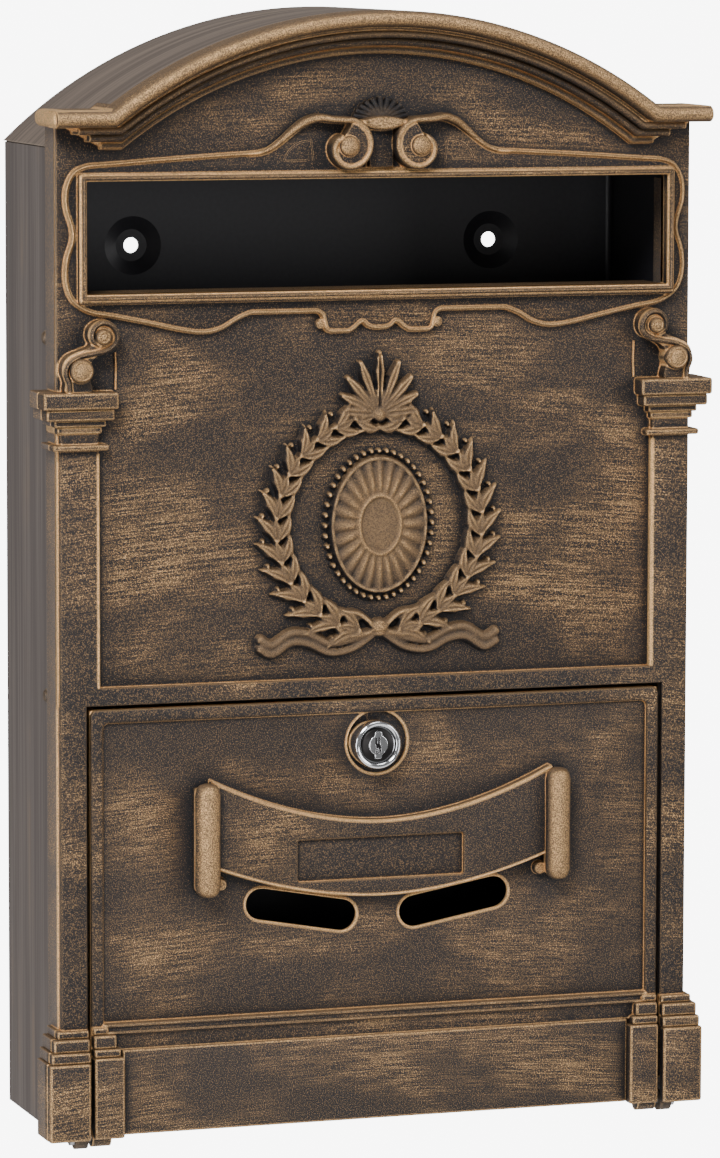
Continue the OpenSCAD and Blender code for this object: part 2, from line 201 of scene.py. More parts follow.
class Piece:
    """Collects closed shells, then makes one object of them."""

    def __init__(self, name):
        self.name = name
        self.bm = bmesh.new()
        self.finish = 0          # which of build()'s materials the next shells get

    def ring(self, points, y):
        return [self.bm.verts.new(place((x, y, z))) for x, z in points]

    def bridge(self, a, b, closed=True):
        count = len(a)
        for i in range(count if closed else count - 1):
            j = (i + 1) % count
            self.bm.faces.new((a[i], a[j], b[j], b[i]))

    def cap(self, rings):
        edges = []
        for ring in rings:
            for i in range(len(ring)):
                pair = (ring[i], ring[(i + 1) % len(ring)])
                edge = self.bm.edges.get(pair)
                edges.append(edge if edge else self.bm.edges.new(pair))
        made = bmesh.ops.triangle_fill(self.bm, use_beauty=True, edges=edges)
        faces = [f for f in made["geom"] if isinstance(f, bmesh.types.BMFace)]
        bmesh.ops.recalc_face_normals(self.bm, faces=faces)

    def plate(self, outer, y0, y1, rim=0.5, holes=(), segments=3, hole_rim=None):
        """An upright plate from depth y0 to y1, its front rim rounded by rim."""
        start = len(self.bm.faces)
        fronts, backs = [], []
        hole_rim = rim if hole_rim is None else hole_rim
        for index, loop in enumerate([outer, *holes]):
            r = rim if index == 0 else hole_rim
            side = 1 if index == 0 else -1
            back = self.ring(loop, y1)
            last = self.ring(loop, y0 + r)
            self.bridge(back, last)
            for k in range(1, segments + 1):
                turn = math.pi / 2 * k / segments
                loop_k = inset(loop, side * r * (1 - math.cos(turn)))
                now = self.ring(loop_k, y0 + r * (1 - math.sin(turn)))
                self.bridge(last, now)
                last = now
            fronts.append(last)
            backs.append(back)
        self.cap(fronts)
        self.cap(backs)
        self.fix(start)

    def fix(self, start):
        """Turns the faces made since start outwards and gives them the current finish."""
        self.bm.faces.ensure_lookup_table()
        bmesh.ops.recalc_face_normals(self.bm, faces=self.bm.faces[start:])
        for face in self.bm.faces[start:]:
            face.material_index = self.finish

    def block(self, x0, x1, y0, y1, z0, z1, r=0.6, segments=3):
        """A box with every edge rounded, its larger roundings given the rubbed gold, which also paints light
        on them where they face the front or up.

        It is made apart, as a bevel reuses the places of deleted faces.
        """
        apart = bmesh.new()
        made = bmesh.ops.create_cube(apart, size=1.0)["verts"]
        for v in made:
            v.co = Vector(place((x0 if v.co.x < 0 else x1, y0 if v.co.y < 0 else y1,
                                 z0 if v.co.z < 0 else z1)))
        r = min(r, 0.45 * min(x1 - x0, y1 - y0, z1 - z0))
        bmesh.ops.bevel(apart, geom=list(apart.edges), offset=r * MM, segments=segments, profile=0.5,
                        affect="EDGES")
        for face in apart.faces:
            on_edge = max(abs(part) for part in face.normal) < 0.97
            face.material_index = 1 if on_edge and r >= 0.7 else self.finish
        carrier = bpy.data.meshes.new("carrier")
        apart.to_mesh(carrier)
        apart.free()
        self.bm.from_mesh(carrier)
        bpy.data.meshes.remove(carrier)

    def sweep(self, path, section, closed=False, lift=None, widths=None):
        """A closed section of (left offset, depth) points, drawn along a path in x and z.

        lift moves the section's front points nearer by so many mm at each path point,
        widths scales its left offsets.
        """
        start = len(self.bm.faces)
        pts = np.array(path, float)
        side = normals(path, closed)
        lift = np.zeros(len(pts)) if lift is None else np.array(lift, float)
        widths = np.ones(len(pts)) if widths is None else np.array(widths, float)
        deepest = max(y for _, y in section)
        rings = []
        for n, y in section:
            front = y < deepest - 0.01
            rings.append([self.bm.verts.new(place((p[0] + k[0] * n * w, y - (up if front else 0), p[1]
                                                   + k[1] * n * w)))
                          for p, k, w, up in zip(pts, side, widths, lift)])
        for k in range(len(section)):
            self.bridge(rings[k], rings[(k + 1) % len(section)], closed)
        if not closed:
            self.bm.faces.new([ring[0] for ring in rings])
            self.bm.faces.new([ring[-1] for ring in reversed(rings)])
        self.fix(start)

    def lathe(self, profile, cx, cz, steps=32, axis="y", cy=0.0):
        """A solid turned about a line along y (or z), from (radius, place along the axis) points."""
        start = len(self.bm.faces)
        rings = []
        for radius, along in profile:
            ring = []
            for i in range(steps):
                turn = 2 * math.pi * i / steps
                a, b = radius * math.cos(turn), radius * math.sin(turn)
                point = {"x": (along, cy + a, cz + b), "y": (cx + a, along, cz + b),
                         "z": (cx + a, cy + b, along)}[axis]
                ring.append(self.bm.verts.new(place(point)))
            rings.append(ring)
        for a, b in zip(rings, rings[1:]):
            self.bridge(a, b)
        self.bm.faces.new(rings[0])
        self.bm.faces.new(list(reversed(rings[-1])))
        self.fix(start)

    def build(self, material, body, angle=38):
        mesh = bpy.data.meshes.new(self.name)
        bmesh.ops.remove_doubles(self.bm, verts=self.bm.verts, dist=1e-7)
        self.bm.to_mesh(mesh)
        self.bm.free()
        return finish_piece(bpy.data.objects.new(self.name, mesh), material, body, angle)


def finish_piece(piece, material, body, angle=38):
    bpy.context.scene.collection.objects.link(piece)
    for look in material if isinstance(material, tuple) else (material,):
        piece.data.materials.append(look)
    piece.data.polygons.foreach_set("use_smooth", [True] * len(piece.data.polygons))
    piece.data.set_sharp_from_angle(angle=math.radians(angle))
    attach(piece, body)
    return piece


def half_round(width, low_y, top_y, steps=6):
    """A section with a domed front, width across, from depth low_y out to top_y."""
    out = []
    for k in range(steps + 1):
        turn = math.pi * k / steps
        out.append((width / 2 * math.cos(turn), low_y + (top_y - low_y) * math.sin(turn)))
    return out + [(-width / 2, low_y + 0.7), (width / 2, low_y + 0.7)]


# ---- materials

class Nodes:
    """Short calls for building a material's node tree."""

    def __init__(self, name):
        self.material = bpy.data.materials.new(name)
        self.material.use_nodes = True
        self.tree = self.material.node_tree
        self.shader = self.tree.nodes["Principled BSDF"]

    def add(self, kind, **settings):
        made = self.tree.nodes.new(kind)
        for key, value in settings.items():
            setattr(made, key, value)
        return made

    def join(self, source, target):
        self.tree.links.new(source, target)

    def coords(self, scale=(1, 1, 1)):
        mapping = self.add("ShaderNodeMapping")
        mapping.inputs["Scale"].default_value = scale
        self.join(self.add("ShaderNodeTexCoord").outputs["Object"], mapping.inputs["Vector"])
        return mapping.outputs["Vector"]

    def noise(self, vector, scale, detail=2.0, rough=0.5, distortion=0.0):
        made = self.add("ShaderNodeTexNoise")
        made.inputs["Scale"].default_value = scale
        made.inputs["Detail"].default_value = detail
        made.inputs["Roughness"].default_value = rough
        made.inputs["Distortion"].default_value = distortion
        self.join(vector, made.inputs["Vector"])
        return made.outputs["Fac"]

    def span(self, value, low, high, to_low=0.0, to_high=1.0):
        made = self.add("ShaderNodeMapRange", interpolation_type="SMOOTHSTEP")
        for key, number in (("From Min", low), ("From Max", high), ("To Min", to_low), ("To Max", to_high)):
            made.inputs[key].default_value = number
        self.join(value, made.inputs["Value"])
        return made.outputs["Result"]

    def math(self, operation, a, b=None, clamp=False):
        made = self.add("ShaderNodeMath", operation=operation, use_clamp=clamp)
        for index, value in enumerate((a, b)):
            if value is None:
                continue
            if isinstance(value, (int, float)):
                made.inputs[index].default_value = value
            else:
                self.join(value, made.inputs[index])
        return made.outputs[0]

    def times(self, a, b, clamp=False):
        return self.math("MULTIPLY", a, b, clamp)

    def most(self, a, b):
        return self.math("MAXIMUM", a, b)

    def mix(self, factor, a, b):
        made = self.add("ShaderNodeMix", data_type="RGBA")
        for index, value in ((0, factor), (6, a), (7, b)):
            if isinstance(value, tuple):
                made.inputs[index].default_value = (*value, 1) if len(value) == 3 else value
            elif isinstance(value, float):
                made.inputs[index].default_value = value
            else:
                self.join(value, made.inputs[index])
        return made.outputs[2]

    def shade(self, distance, inside=False, samples=6):
        made = self.add("ShaderNodeAmbientOcclusion", inside=inside, only_local=inside, samples=samples)
        made.inputs["Distance"].default_value = distance
        return made.outputs["AO"]

    def bump(self, height, strength, distance):
        made = self.add("ShaderNodeBump")
        made.inputs["Strength"].default_value = strength
        made.inputs["Distance"].default_value = distance
        self.join(height, made.inputs["Height"])
        self.join(made.outputs["Normal"], self.shader.inputs["Normal"])


GOLD = (0.43, 0.260, 0.122)
# The brightest gold, for rubbed edges and tops, is pale enough to paint their highlights in as well
EDGE_GOLD_HIGHLIGHT = (0.98, 0.60, 0.27)
BROWN = (0.0135, 0.0122, 0.0138)
# Charcoal for the recesses and the ground round raised forms: partly black paint in the hollows, partly
# painted shade
CHARCOAL_PAINT_AND_SHADE = (0.0062, 0.0066, 0.0095)
SIDE_GREY = (0.120, 0.100, 0.091)


def cast_bronze(name, lift, brushed=1.0, edge=1.0, facing=(-0.70, -0.99), proud=False):
    """Dark sand-textured casting with gold dry-brushed over it and on its raised edges, charcoal painted
    shade in its recesses and round its raised forms, and painted light where the gold is brightened on edges
    and tops and laid on faces turned to the front or up.

    lift is the depth, in mm, where tops start to be rubbed back to gold, the depth
    where they are fully rubbed, and how much of the gold shows there. facing is how
    far a top must face the front to take that gold; with the gold on upward faces this
    also paints light on the sides turned to the lamps. proud is for a relief of fine raised forms.
    """
    m = Nodes(name)
    plain = m.coords()
    split = m.add("ShaderNodeSeparateXYZ")
    m.join(plain, split.inputs[0])
    # The brush strokes run sideways in shallow arches, so height is bent by x squared
    arch = m.times(m.times(split.outputs["X"], split.outputs["X"]), 0.5)
    bent = m.add("ShaderNodeCombineXYZ")
    m.join(m.times(split.outputs["X"], 0.035), bent.inputs["X"])
    m.join(m.times(split.outputs["Y"], 0.3), bent.inputs["Y"])
    m.join(m.math("ADD", split.outputs["Z"], arch), bent.inputs["Z"])
    strokes = m.span(m.noise(bent.outputs[0], 2100, 3, 0.6), 0.42, 0.66)
    patches = m.span(m.noise(m.coords((1, 1, 1.7)), 17, 3, 0.55, 0.4), 0.38, 0.76)
    grain = m.noise(plain, 2400, 2, 0.65)
    speck = m.span(grain, 0.51, 0.63)
    turned = m.add("ShaderNodeSeparateXYZ")
    m.join(m.add("ShaderNodeTexCoord").outputs["Normal"], turned.inputs[0])
    shown = m.span(turned.outputs["Y"], 0.75, 0.35)      # faces turned to the wall are left plain
    # Faces turned up and to the front take more gold: partly rubbed, partly painted light from the lamps
    # above and in front
    upward = m.span(turned.outputs["Z"], 0.15, 0.75, 0.0, 0.55 if brushed else 0.0)
    front_on = m.span(turned.outputs["Y"], *facing)
    # Occlusion masks: the ground round raised forms and the fine recesses are darkened to charcoal further
    # down, partly black paint in the hollows and partly painted shade, and the ground round raised forms is
    # kept clear of gold
    open_area = m.span(m.shade(0.010, samples=8), 0.66, 0.985)
    crevice = m.span(m.shade(0.003), 0.40, 0.92)
    # Convex edges, found by occlusion from inside, get the brightest gold: rubbed gold and a painted
    # highlight in one
    rims = m.span(m.shade(0.0016 if proud else 0.0009, inside=True, samples=8), 0.85, 0.52)
    rims = m.times(rims, m.span(grain, 0.36, 0.56, 0.35, 1.0))
    dry = m.times(m.times(strokes, patches), 0.62 * brushed)
    flecks = m.times(speck, m.math("ADD", m.times(patches, 0.40), 0.50))
    flecks = m.times(flecks, min(1.0, 0.2 + brushed))
    gold_wear_and_light = m.math("ADD", dry, flecks, clamp=True)
    gold_wear_and_light = m.times(gold_wear_and_light, open_area)
    height = m.span(split.outputs["Y"], depth(lift[0]), depth(lift[1]), 0.0, lift[2])
    height = m.times(height, m.most(front_on, upward))
    if proud:
        clear = m.span(split.outputs["Y"], depth(FIELD_Y - 0.3), depth(FIELD_Y - 1.1))
        rims = m.times(rims, m.times(clear, m.most(front_on, upward)))
    gold_wear_and_light = m.most(gold_wear_and_light, m.times(height, m.span(grain, 0.40, 0.58, 0.42, 1.0)))
    gold_wear_and_light = m.most(gold_wear_and_light, m.times(upward, m.span(grain, 0.36, 0.60, 0.2, 1.0)))
    sparks = m.times(m.span(grain, 0.60, 0.68), 0.60 * min(1.0, brushed))
    gold_wear_and_light = m.times(m.most(gold_wear_and_light, sparks), shown)
    rims = m.times(rims, shown)
    # Painted shade in charcoal in the recesses and round raised forms, partly the black paint in the hollows
    base = m.mix(crevice, CHARCOAL_PAINT_AND_SHADE, BROWN)
    base = m.mix(open_area, CHARCOAL_PAINT_AND_SHADE, base)
    # The casting's turned-back sides are painted like the sheets behind them
    behind = m.span(split.outputs["Y"], depth(2.0), depth(3.5))
    sideways = m.span(m.math("ABSOLUTE", turned.outputs["X"]), 0.70, 0.90)
    base = m.mix(m.times(behind, sideways), base, SIDE_GREY)
    # The most rubbed tops turn to the brightest gold, partly a painted highlight
    gold = m.mix(m.span(gold_wear_and_light, 0.55, 1.0), GOLD, tuple(0.85 * c for c in EDGE_GOLD_HIGHLIGHT))
    brushed_colour_light_and_shade = m.mix(gold_wear_and_light, base, gold)
    # Edges in the brightest gold over the rest, partly rubbed gold and partly a painted highlight
    m.join(m.mix(m.times(rims, edge, clamp=True), brushed_colour_light_and_shade, EDGE_GOLD_HIGHLIGHT),
           m.shader.inputs["Base Color"])
    gleam = m.most(gold_wear_and_light, m.times(rims, edge, clamp=True))
    m.join(m.span(gleam, 0, 1, 0.30, 0.70), m.shader.inputs["Metallic"])
    m.join(m.span(gleam, 0, 1, 0.46, 0.33), m.shader.inputs["Roughness"])
    m.bump(grain, 0.7, 0.0007)
    return m.material


def sheet_bronze(name, stretch, dark, light):
    """Smooth grey-brown sheet, brushed lengthwise, with a little gold caught in some strokes."""
    m = Nodes(name)
    streaks = m.noise(m.coords(stretch), 900, 4, 0.6)
    long_tone = m.noise(m.coords(tuple(2 * v if v < 1 else v for v in stretch)), 130, 3)
    clouds = m.noise(m.coords(), 22, 3)
    tone = m.math("ADD", m.times(streaks, 0.55), m.times(long_tone, 0.45))
    colour = m.mix(m.span(tone, 0.38, 0.64), dark, light)
    caught = m.times(m.span(long_tone, 0.52, 0.68), m.span(clouds, 0.42, 0.62))
    colour = m.mix(m.times(caught, 0.40), colour, (0.27, 0.185, 0.115))
    rims = m.span(m.shade(0.0007, inside=True), 0.55, 0.25)
    m.join(m.mix(m.times(rims, 0.3), colour, (0.40, 0.32, 0.24)), m.shader.inputs["Base Color"])
    m.shader.inputs["Metallic"].default_value = 0.35
    m.join(m.span(tone, 0.3, 0.7, 0.50, 0.38), m.shader.inputs["Roughness"])
    m.bump(streaks, 0.10, 0.0003)
    return m.material


# Near black: painted shade for the inside of the closed box
def inside_shade_black(name):
    m = Nodes(name)
    grain = m.noise(m.coords(), 600, 3)
    m.join(m.mix(grain, (0.013, 0.0125, 0.016), (0.027, 0.0255, 0.030)), m.shader.inputs["Base Color"])
    m.shader.inputs["Roughness"].default_value = 0.42
    m.bump(grain, 0.15, 0.0002)
    return m.material


def polished(name, colour, rough, scratch_axis="z"):
    m = Nodes(name)
    stretch = [1.0, 1.0, 1.0]
    stretch["xyz".index(scratch_axis)] = 0.05
    lines = m.noise(m.coords(tuple(stretch)), 2600, 2)
    dark = tuple(0.82 * c for c in colour)
    m.join(m.mix(lines, colour, dark), m.shader.inputs["Base Color"])
    m.shader.inputs["Metallic"].default_value = 1.0
    m.join(m.span(lines, 0.2, 0.8, rough, rough + 0.09), m.shader.inputs["Roughness"])
    return m.material


CAST = cast_bronze("cast bronze", (-6.0, -9.0, 0.8))
# Gold on every face turned to the front or up, dark below: partly rubbed, partly painted light on the lit
# side
RUBBED_AND_LIT = cast_bronze("rubbed and lit bronze", (50, 49, 0.90), facing=(-0.15, -0.80))
# No gold: it paints the shade of the cut lines beside the volutes and, partly, of the fan's ribs
UNRUBBED_SHADE = cast_bronze("unrubbed shade bronze", (-50, -51, 0.0), brushed=0.0, edge=0.05)
CREST = cast_bronze("crest bronze", (FIELD_Y - 1.5, FIELD_Y - 4.0, 0.86), 0.6, 1.0, (-0.45, -0.92),
                    proud=True)
SIDES = sheet_bronze("brushed side sheet", (1, 1, 0.012), (0.100, 0.082, 0.075), (0.165, 0.138, 0.125))
ROOF = sheet_bronze("brushed roof sheet", (0.014, 1, 0.014), (0.105, 0.080, 0.066), (0.235, 0.180, 0.140))
BRACKET = sheet_bronze("painted bracket", (1, 1, 1), (0.05, 0.036, 0.026), (0.16, 0.105, 0.06))
# Near black for the box's inside, as painted shade
INSIDE_SHADE_BLACK = inside_shade_black("matt black inside shade")
CHROME = polished("polished chrome", (0.83, 0.83, 0.85), 0.07)
DARK_CHROME = polished("dark lock face", (0.045, 0.042, 0.042), 0.32, "x")
STEEL = polished("zinc plated steel", (0.55, 0.55, 0.57), 0.30)


# ---- cornice, front

CORNICE = [
    # front depth, half width of the kicked end, underside, inner radius, outer radius
    (ROLL_Y, SHOULDER_HW, SHOULDER_Z0, ARCH_R - 6.0, ARCH_R),
    (-8.0, 116.2, 366.0, ARCH_R - 10.0, ARCH_R - 7.2),
    (-4.7, 111.2, 363.3, ARCH_R - 12.8, ARCH_R - 10.0),
    (-1.2, 106.0, 360.5, ARCH_R - 15.6, ARCH_R - 12.8),
]


def kicked_arch(radius, low_z, end_hw, steps=56):
    """The arch of that radius down to low_z, with flat ends out to end_hw, from left to right."""
    foot = math.degrees(math.asin((low_z - ARCH_CZ) / radius))
    return [(-end_hw, low_z), *arc(0, ARCH_CZ, radius, 180 - foot, foot, steps), (end_hw, low_z)]


def cornice(piece):
    """The roll and three beads, each swept along the arch and its flat ends."""
    for index, (front, end_hw, low_z, inner_r, outer_r) in enumerate(CORNICE):
        piece.finish = 0 if index else 1
        thick = outer_r - inner_r
        path = kicked_arch(inner_r + thick / 2, low_z + thick / 2, end_hw - (0 if index else 1.0))
        back = FIELD_Y + 0.4 if index else 0.3
        r = thick / 2
        section = []
        steps = 10 if index == 0 else 6
        reach = 4.4 if index == 0 else 1.9
        for k in range(steps + 1):
            turn = math.pi * k / steps
            section.append((r * math.cos(turn), front + reach - reach * math.sin(turn)))
        section += [(-r, back), (r, back)]
        piece.sweep(path, section)
    piece.finish = 0
    # Solid behind the bands, down to the field
    low = CORNICE[-1]
    inner = kicked_arch(low[3] + 0.8, low[2] + 0.8, low[1] - 1)
    outer = list(reversed(kicked_arch(ARCH_R - 1.2, low[2] + 9, SHOULDER_HW - 6)))
    piece.plate(list(reversed(inner + outer)), -0.2, FIELD_BACK, 0.2)
    mid = kicked_arch(CORNICE[1][3] + 1, CORNICE[1][2] + 1.2, CORNICE[1][1] - 1)
    top = list(reversed(kicked_arch(ARCH_R - 1.2, CORNICE[1][2] + 5, SHOULDER_HW - 4)))
    piece.plate(list(reversed(mid + top)), -6.2, FIELD_BACK, 0.2)
    piece.finish = 1
    for side in (-1, 1):
        piece.block(*across(side, CAST_HW - 3, SHOULDER_HW), ROLL_Y + 2.4, RETURN_Y, SHOULDER_Z0,
                    SHOULDER_Z1, 2.6, 5)
        piece.block(*across(side, SHOULDER_X - 1, SHOULDER_HW - 0.6), ROLL_Y + 3, RETURN_Y, SHOULDER_Z0
                    + 0.2, SHOULDER_Z1 - 0.1, 1.8, 4)
        # The arch's foot on the shoulder, in line with the roof
        foot = [(x, ARCH_CZ + math.sqrt((ARCH_R - 0.1) ** 2 - x * x)) for x in np.linspace(109, 101, 9)]
        foot = [(101, SHOULDER_Z0 + 1), (109, SHOULDER_Z0 + 1)] + foot
        piece.plate(anticlockwise(flip(foot, side)), 0.2, SHEET_Y - 0.1, 0.2)
    piece.finish = 0


def field(piece):
    """The flat field of the front with the slot cut through, and the walls behind it."""
    roof_r = ARCH_R - SHEET_T - 0.1
    foot = math.degrees(math.asin((SHOULDER_Z0 - ARCH_CZ) / roof_r))
    outline = [(-CAST_HW, OPEN_Z), (CAST_HW, OPEN_Z), (CAST_HW, SHOULDER_Z0)]
    outline += arc(0, ARCH_CZ, roof_r, foot, 180 - foot, 48) + [(-CAST_HW, SHOULDER_Z0)]
    slot = rect(-SLOT_HW, SLOT_HW, SLOT_Z0, SLOT_Z1)
    piece.plate(outline, FIELD_Y, FIELD_BACK, 0.5, [slot], hole_rim=0.2)
    for side in (-1, 1):
        piece.block(*across(side, CAST_HW - 3, CAST_HW), FIELD_Y + 1.4, RETURN_Y, 0.2, SHOULDER_Z0 + 1, 0.4)
        piece.block(*across(side, LIP_OUT - 2.5, LIP_OUT), 10, 27, 4, SHOULDER_Z0 - 22, 0.3)
    piece.sweep(arc(0, ARCH_CZ, roof_r - 1.25, 180 - foot, foot, 48),
                [(-1.25, 3), (1.25, 3), (1.25, 27), (-1.25, 27)])
    piece.block(-LIP_OUT + 1, LIP_OUT - 1, FIELD_Y + 0.1, 16.4, 160.6, 163.1, 0.3)


def slot_frame(piece):
    """Two-step frame round the slot, and the shelf behind its lower edge."""
    outer = rect(-SLOT_HW - 2.7, SLOT_HW + 2.7, SLOT_Z0 - 3.5, SLOT_Z1 + 2.7, 0.9)
    hole = rect(-SLOT_HW, SLOT_HW, SLOT_Z0, SLOT_Z1, 0.4)
    piece.plate(outer, -2.1, FIELD_BACK, 0.9, [hole], hole_rim=0.4)
    middle = [(-SLOT_HW - 1.2, SLOT_Z0 - 1.3), (SLOT_HW + 1.2, SLOT_Z0 - 1.3),
              (SLOT_HW + 1.2, SLOT_Z1 + 1.2), (-SLOT_HW - 1.2, SLOT_Z1 + 1.2)]
    piece.sweep(middle, half_round(1.8, -1.8, -3.5), closed=True)
    piece.block(-SLOT_HW, SLOT_HW, 0, SHELF_Y, SLOT_Z0 - 2.5, SLOT_Z0, 0.5)


# ---- the cartouche

CARTOUCHE_Y = 1.3

# Right half of the plate's edge, from the top middle round to the bottom middle
CARTOUCHE_TOP = [(46, 359.2), (58, 358.6), (80, 357.3), (100, 355.9), (110, 355.3)]
CARTOUCHE_SIDE = [(110, 355.3), (115.5, 353.2), (118.8, 347.5), (119.2, 340), (117.0, 332.5), (116.8, 328),
                  (119.0, 321), (119.3, 313), (116.6, 306), (110, 301.6), (101, 299.9)]
CARTOUCHE_LOW = [(101, 299.9), (88, 297.3), (76, 294.6), (67, 293.5), (60, 294.9), (54, 298.3), (49, 300.3)]
DRIP = [(24, 300.3), (22.3, 299.2), (21.6, 296.4), (20.6, 293.6), (18.4, 292.8)]
DRIP_EDGE = [(11.5, 292.8), (9.2, 294.2), (6.6, 296.3), (5.0, 294.9), (2.6, 294.0), (0, 293.8)]


def cartouche_edge():
    """The right half of the raised plate's edge, clockwise from the top."""
    right = smooth(CARTOUCHE_TOP, 3)[:-1] + smooth(CARTOUCHE_SIDE, 4)[:-1] + smooth(CARTOUCHE_LOW, 4)
    right += smooth(DRIP, 4) + smooth(DRIP_EDGE, 4)
    return right


# The right volute stands proud of the plate: a shrinking spiral that ends in a ball
VOLUTE_X, VOLUTE_Z = 13.8, 361.0


def volute_path():
    """From the spiral's inner end outwards over the top and down to the frieze's edge, with its lift."""
    turns = np.linspace(-235, 78, 56)
    radii = np.interp(turns, [-235, -180, -90, 0, 78], [3.3, 5.2, 7.7, 8.5, 9.4])
    spiral = [(VOLUTE_X - r * math.cos(t), VOLUTE_Z + r * math.sin(t))
              for t, r in zip(np.radians(turns), radii)]
    ogee = smooth([spiral[-1], (19.2, 370.6), (24.0, 371.2), (29.0, 369.6), (33.5, 366.4), (38, 362.6),
                   (42, 359.9), (46, 358.5), (50, 358.2)], 6)
    path = spiral[:-1] + ogee
    drop = [1 - max(0.0, min(1.0, (x - 15.0) / 24.0)) if k >= len(spiral) - 1 else 1.0
            for k, (x, _) in enumerate(path)]
    return path, [5.9 * (d * d * (3 - 2 * d)) - 0.72 for d in drop], spiral


def cartouche(piece):
    right = cartouche_edge()
    slot = rect(-SLOT_HW - 1, SLOT_HW + 1, SLOT_Z0 - 2, SLOT_Z1 + 1)
    hump = smooth([(46, 359.4), (42, 360.6), (38, 363.2), (33.5, 366.8), (28.5, 369.8), (22, 371.2),
                   (15.5, 370.6), (9, 367.6), (6.4, 362), (7.2, 355.6), (9.4, 352.6)], 4)
    outline = hump[::-1] + right[1:] + mirrored(right[1:-1]) + mirrored(hump[::-1])
    piece.plate(outline[::-1], CARTOUCHE_Y, FIELD_BACK, 0.7, [slot])
    piece.finish = 1
    rim = half_round(1.4, CARTOUCHE_Y + 0.2, CARTOUCHE_Y - 1.15)
    edge = right[:-1] + mirrored(right)
    moved = np.array(edge) + normals(edge, False) * -0.7
    piece.sweep([tuple(p) for p in moved], rim)
    path, lift, spiral = volute_path()
    widths = np.interp(np.arange(len(path)), [0, 20, 55, 72, len(path) - 1], [0.9, 0.62, 0.72, 0.95, 0.5])
    for side in (1, -1):
        piece.sweep(flip(path, side), half_round(3.4, CARTOUCHE_Y + 0.2, CARTOUCHE_Y - 2.0, 8),
                    lift=lift, widths=widths)
        # The body behind the spiral, and its ball
        body = flip(spiral, side)
        piece.finish = 0
        piece.plate(anticlockwise(body), -5.1, FIELD_BACK, 0.4)
        piece.finish = 1
        ball = [(3.8, -4.2), (3.75, -5.9), (3.3, -6.8), (2.3, -7.4), (1.1, -7.7), (0.2, -7.8)]
        piece.lathe(ball, side * VOLUTE_X, VOLUTE_Z, 32)
        piece.lathe([(1.9, 2.6), (1.9, 0.9), (1.3, 0.3), (0.3, 0.1)], side * 22.4, 296.2, 18)
        # Proud lines beside the volutes in dark unrubbed bronze, painted shade that stands for cut lines
        piece.finish = 2
        thin = [(w, CARTOUCHE_Y + y)
                for w, y in ((0.32, 0.05), (0.2, -0.1), (0, -0.14), (-0.2, -0.1), (-0.32, 0.05))]
        quarter = smooth([(36.6, 355.6), (34.4, 359.6), (30.6, 362.2), (26.2, 362.8)], 4)
        piece.sweep(flip(quarter, side), thin)
        piece.sweep(flip([(26.2, 362.8), (25.4, 355.6)], side), thin)
        piece.sweep(flip([(28.0, 355.6), (36.6, 355.6)], side), thin)
        piece.finish = 1
    piece.finish = 0


def top_leaf(piece):
    """A ribbed fan over a lens shaped leaf, on a flat pedestal between the volutes."""
    # The fan's ribs are dark unrubbed bronze, partly their own dark paint and partly painted shade
    piece.finish = 2
    for k in range(-5, 6):
        turn = math.radians(90 + k * 14)
        tip_r = 9.4 - 0.28 * abs(k)
        foot = (0.6 * k, 369.5)
        tip = (tip_r * 1.38 * math.cos(turn), 369.0 + tip_r * math.sin(turn))
        mid = ((foot[0] + tip[0]) / 2, (foot[1] + tip[1]) / 2)
        piece.sweep([foot, mid, tip], half_round(2.1, FIELD_Y - 0.65, FIELD_Y - 1.5, 5), lift=[3.2, 2.4, 0.9])
    piece.finish = 1
    leaf = smooth([(-9.6, 369.6), (-5, 371.2), (0, 371.7), (5, 371.2), (9.6, 369.6), (6, 367.4),
                   (0, 366.4), (-6, 367.4)],
                  4, closed=True)
    piece.plate(anticlockwise(leaf), -4.6, FIELD_BACK, 1.5, segments=5)
    piece.finish = 0
    piece.plate(rect(-4.6, 4.6, 353, 368), -0.9, FIELD_BACK, 0.5)


# ---- pilasters

CAPITAL = [
    # inner half width, outer half width, front, underside, top, roundness
    (100.6, 128.8, -5.3, 267.4, 273.6, 1.0),
    (101.9, 127.4, -4.0, 263.3, 267.6, 0.9),
    (104.6, 123.9, -1.9, 260.9, 263.5, 0.7),
    (105.8, 122.6, -0.8, 258.4, 261.1, 0.7),
    (103.6, 124.6, -2.4, 252.3, 254.6, 0.9),
]

PLINTH = [
    # outer half width, front, underside, top, roundness
    (127.3, -4.5, 0.0, 28.7, 1.0),
    (126.4, -3.9, 28.7, 32.8, 0.9),
    (125.4, -3.1, 32.8, 37.6, 0.9),
    (123.6, -1.7, 37.6, 40.6, 0.8),
]


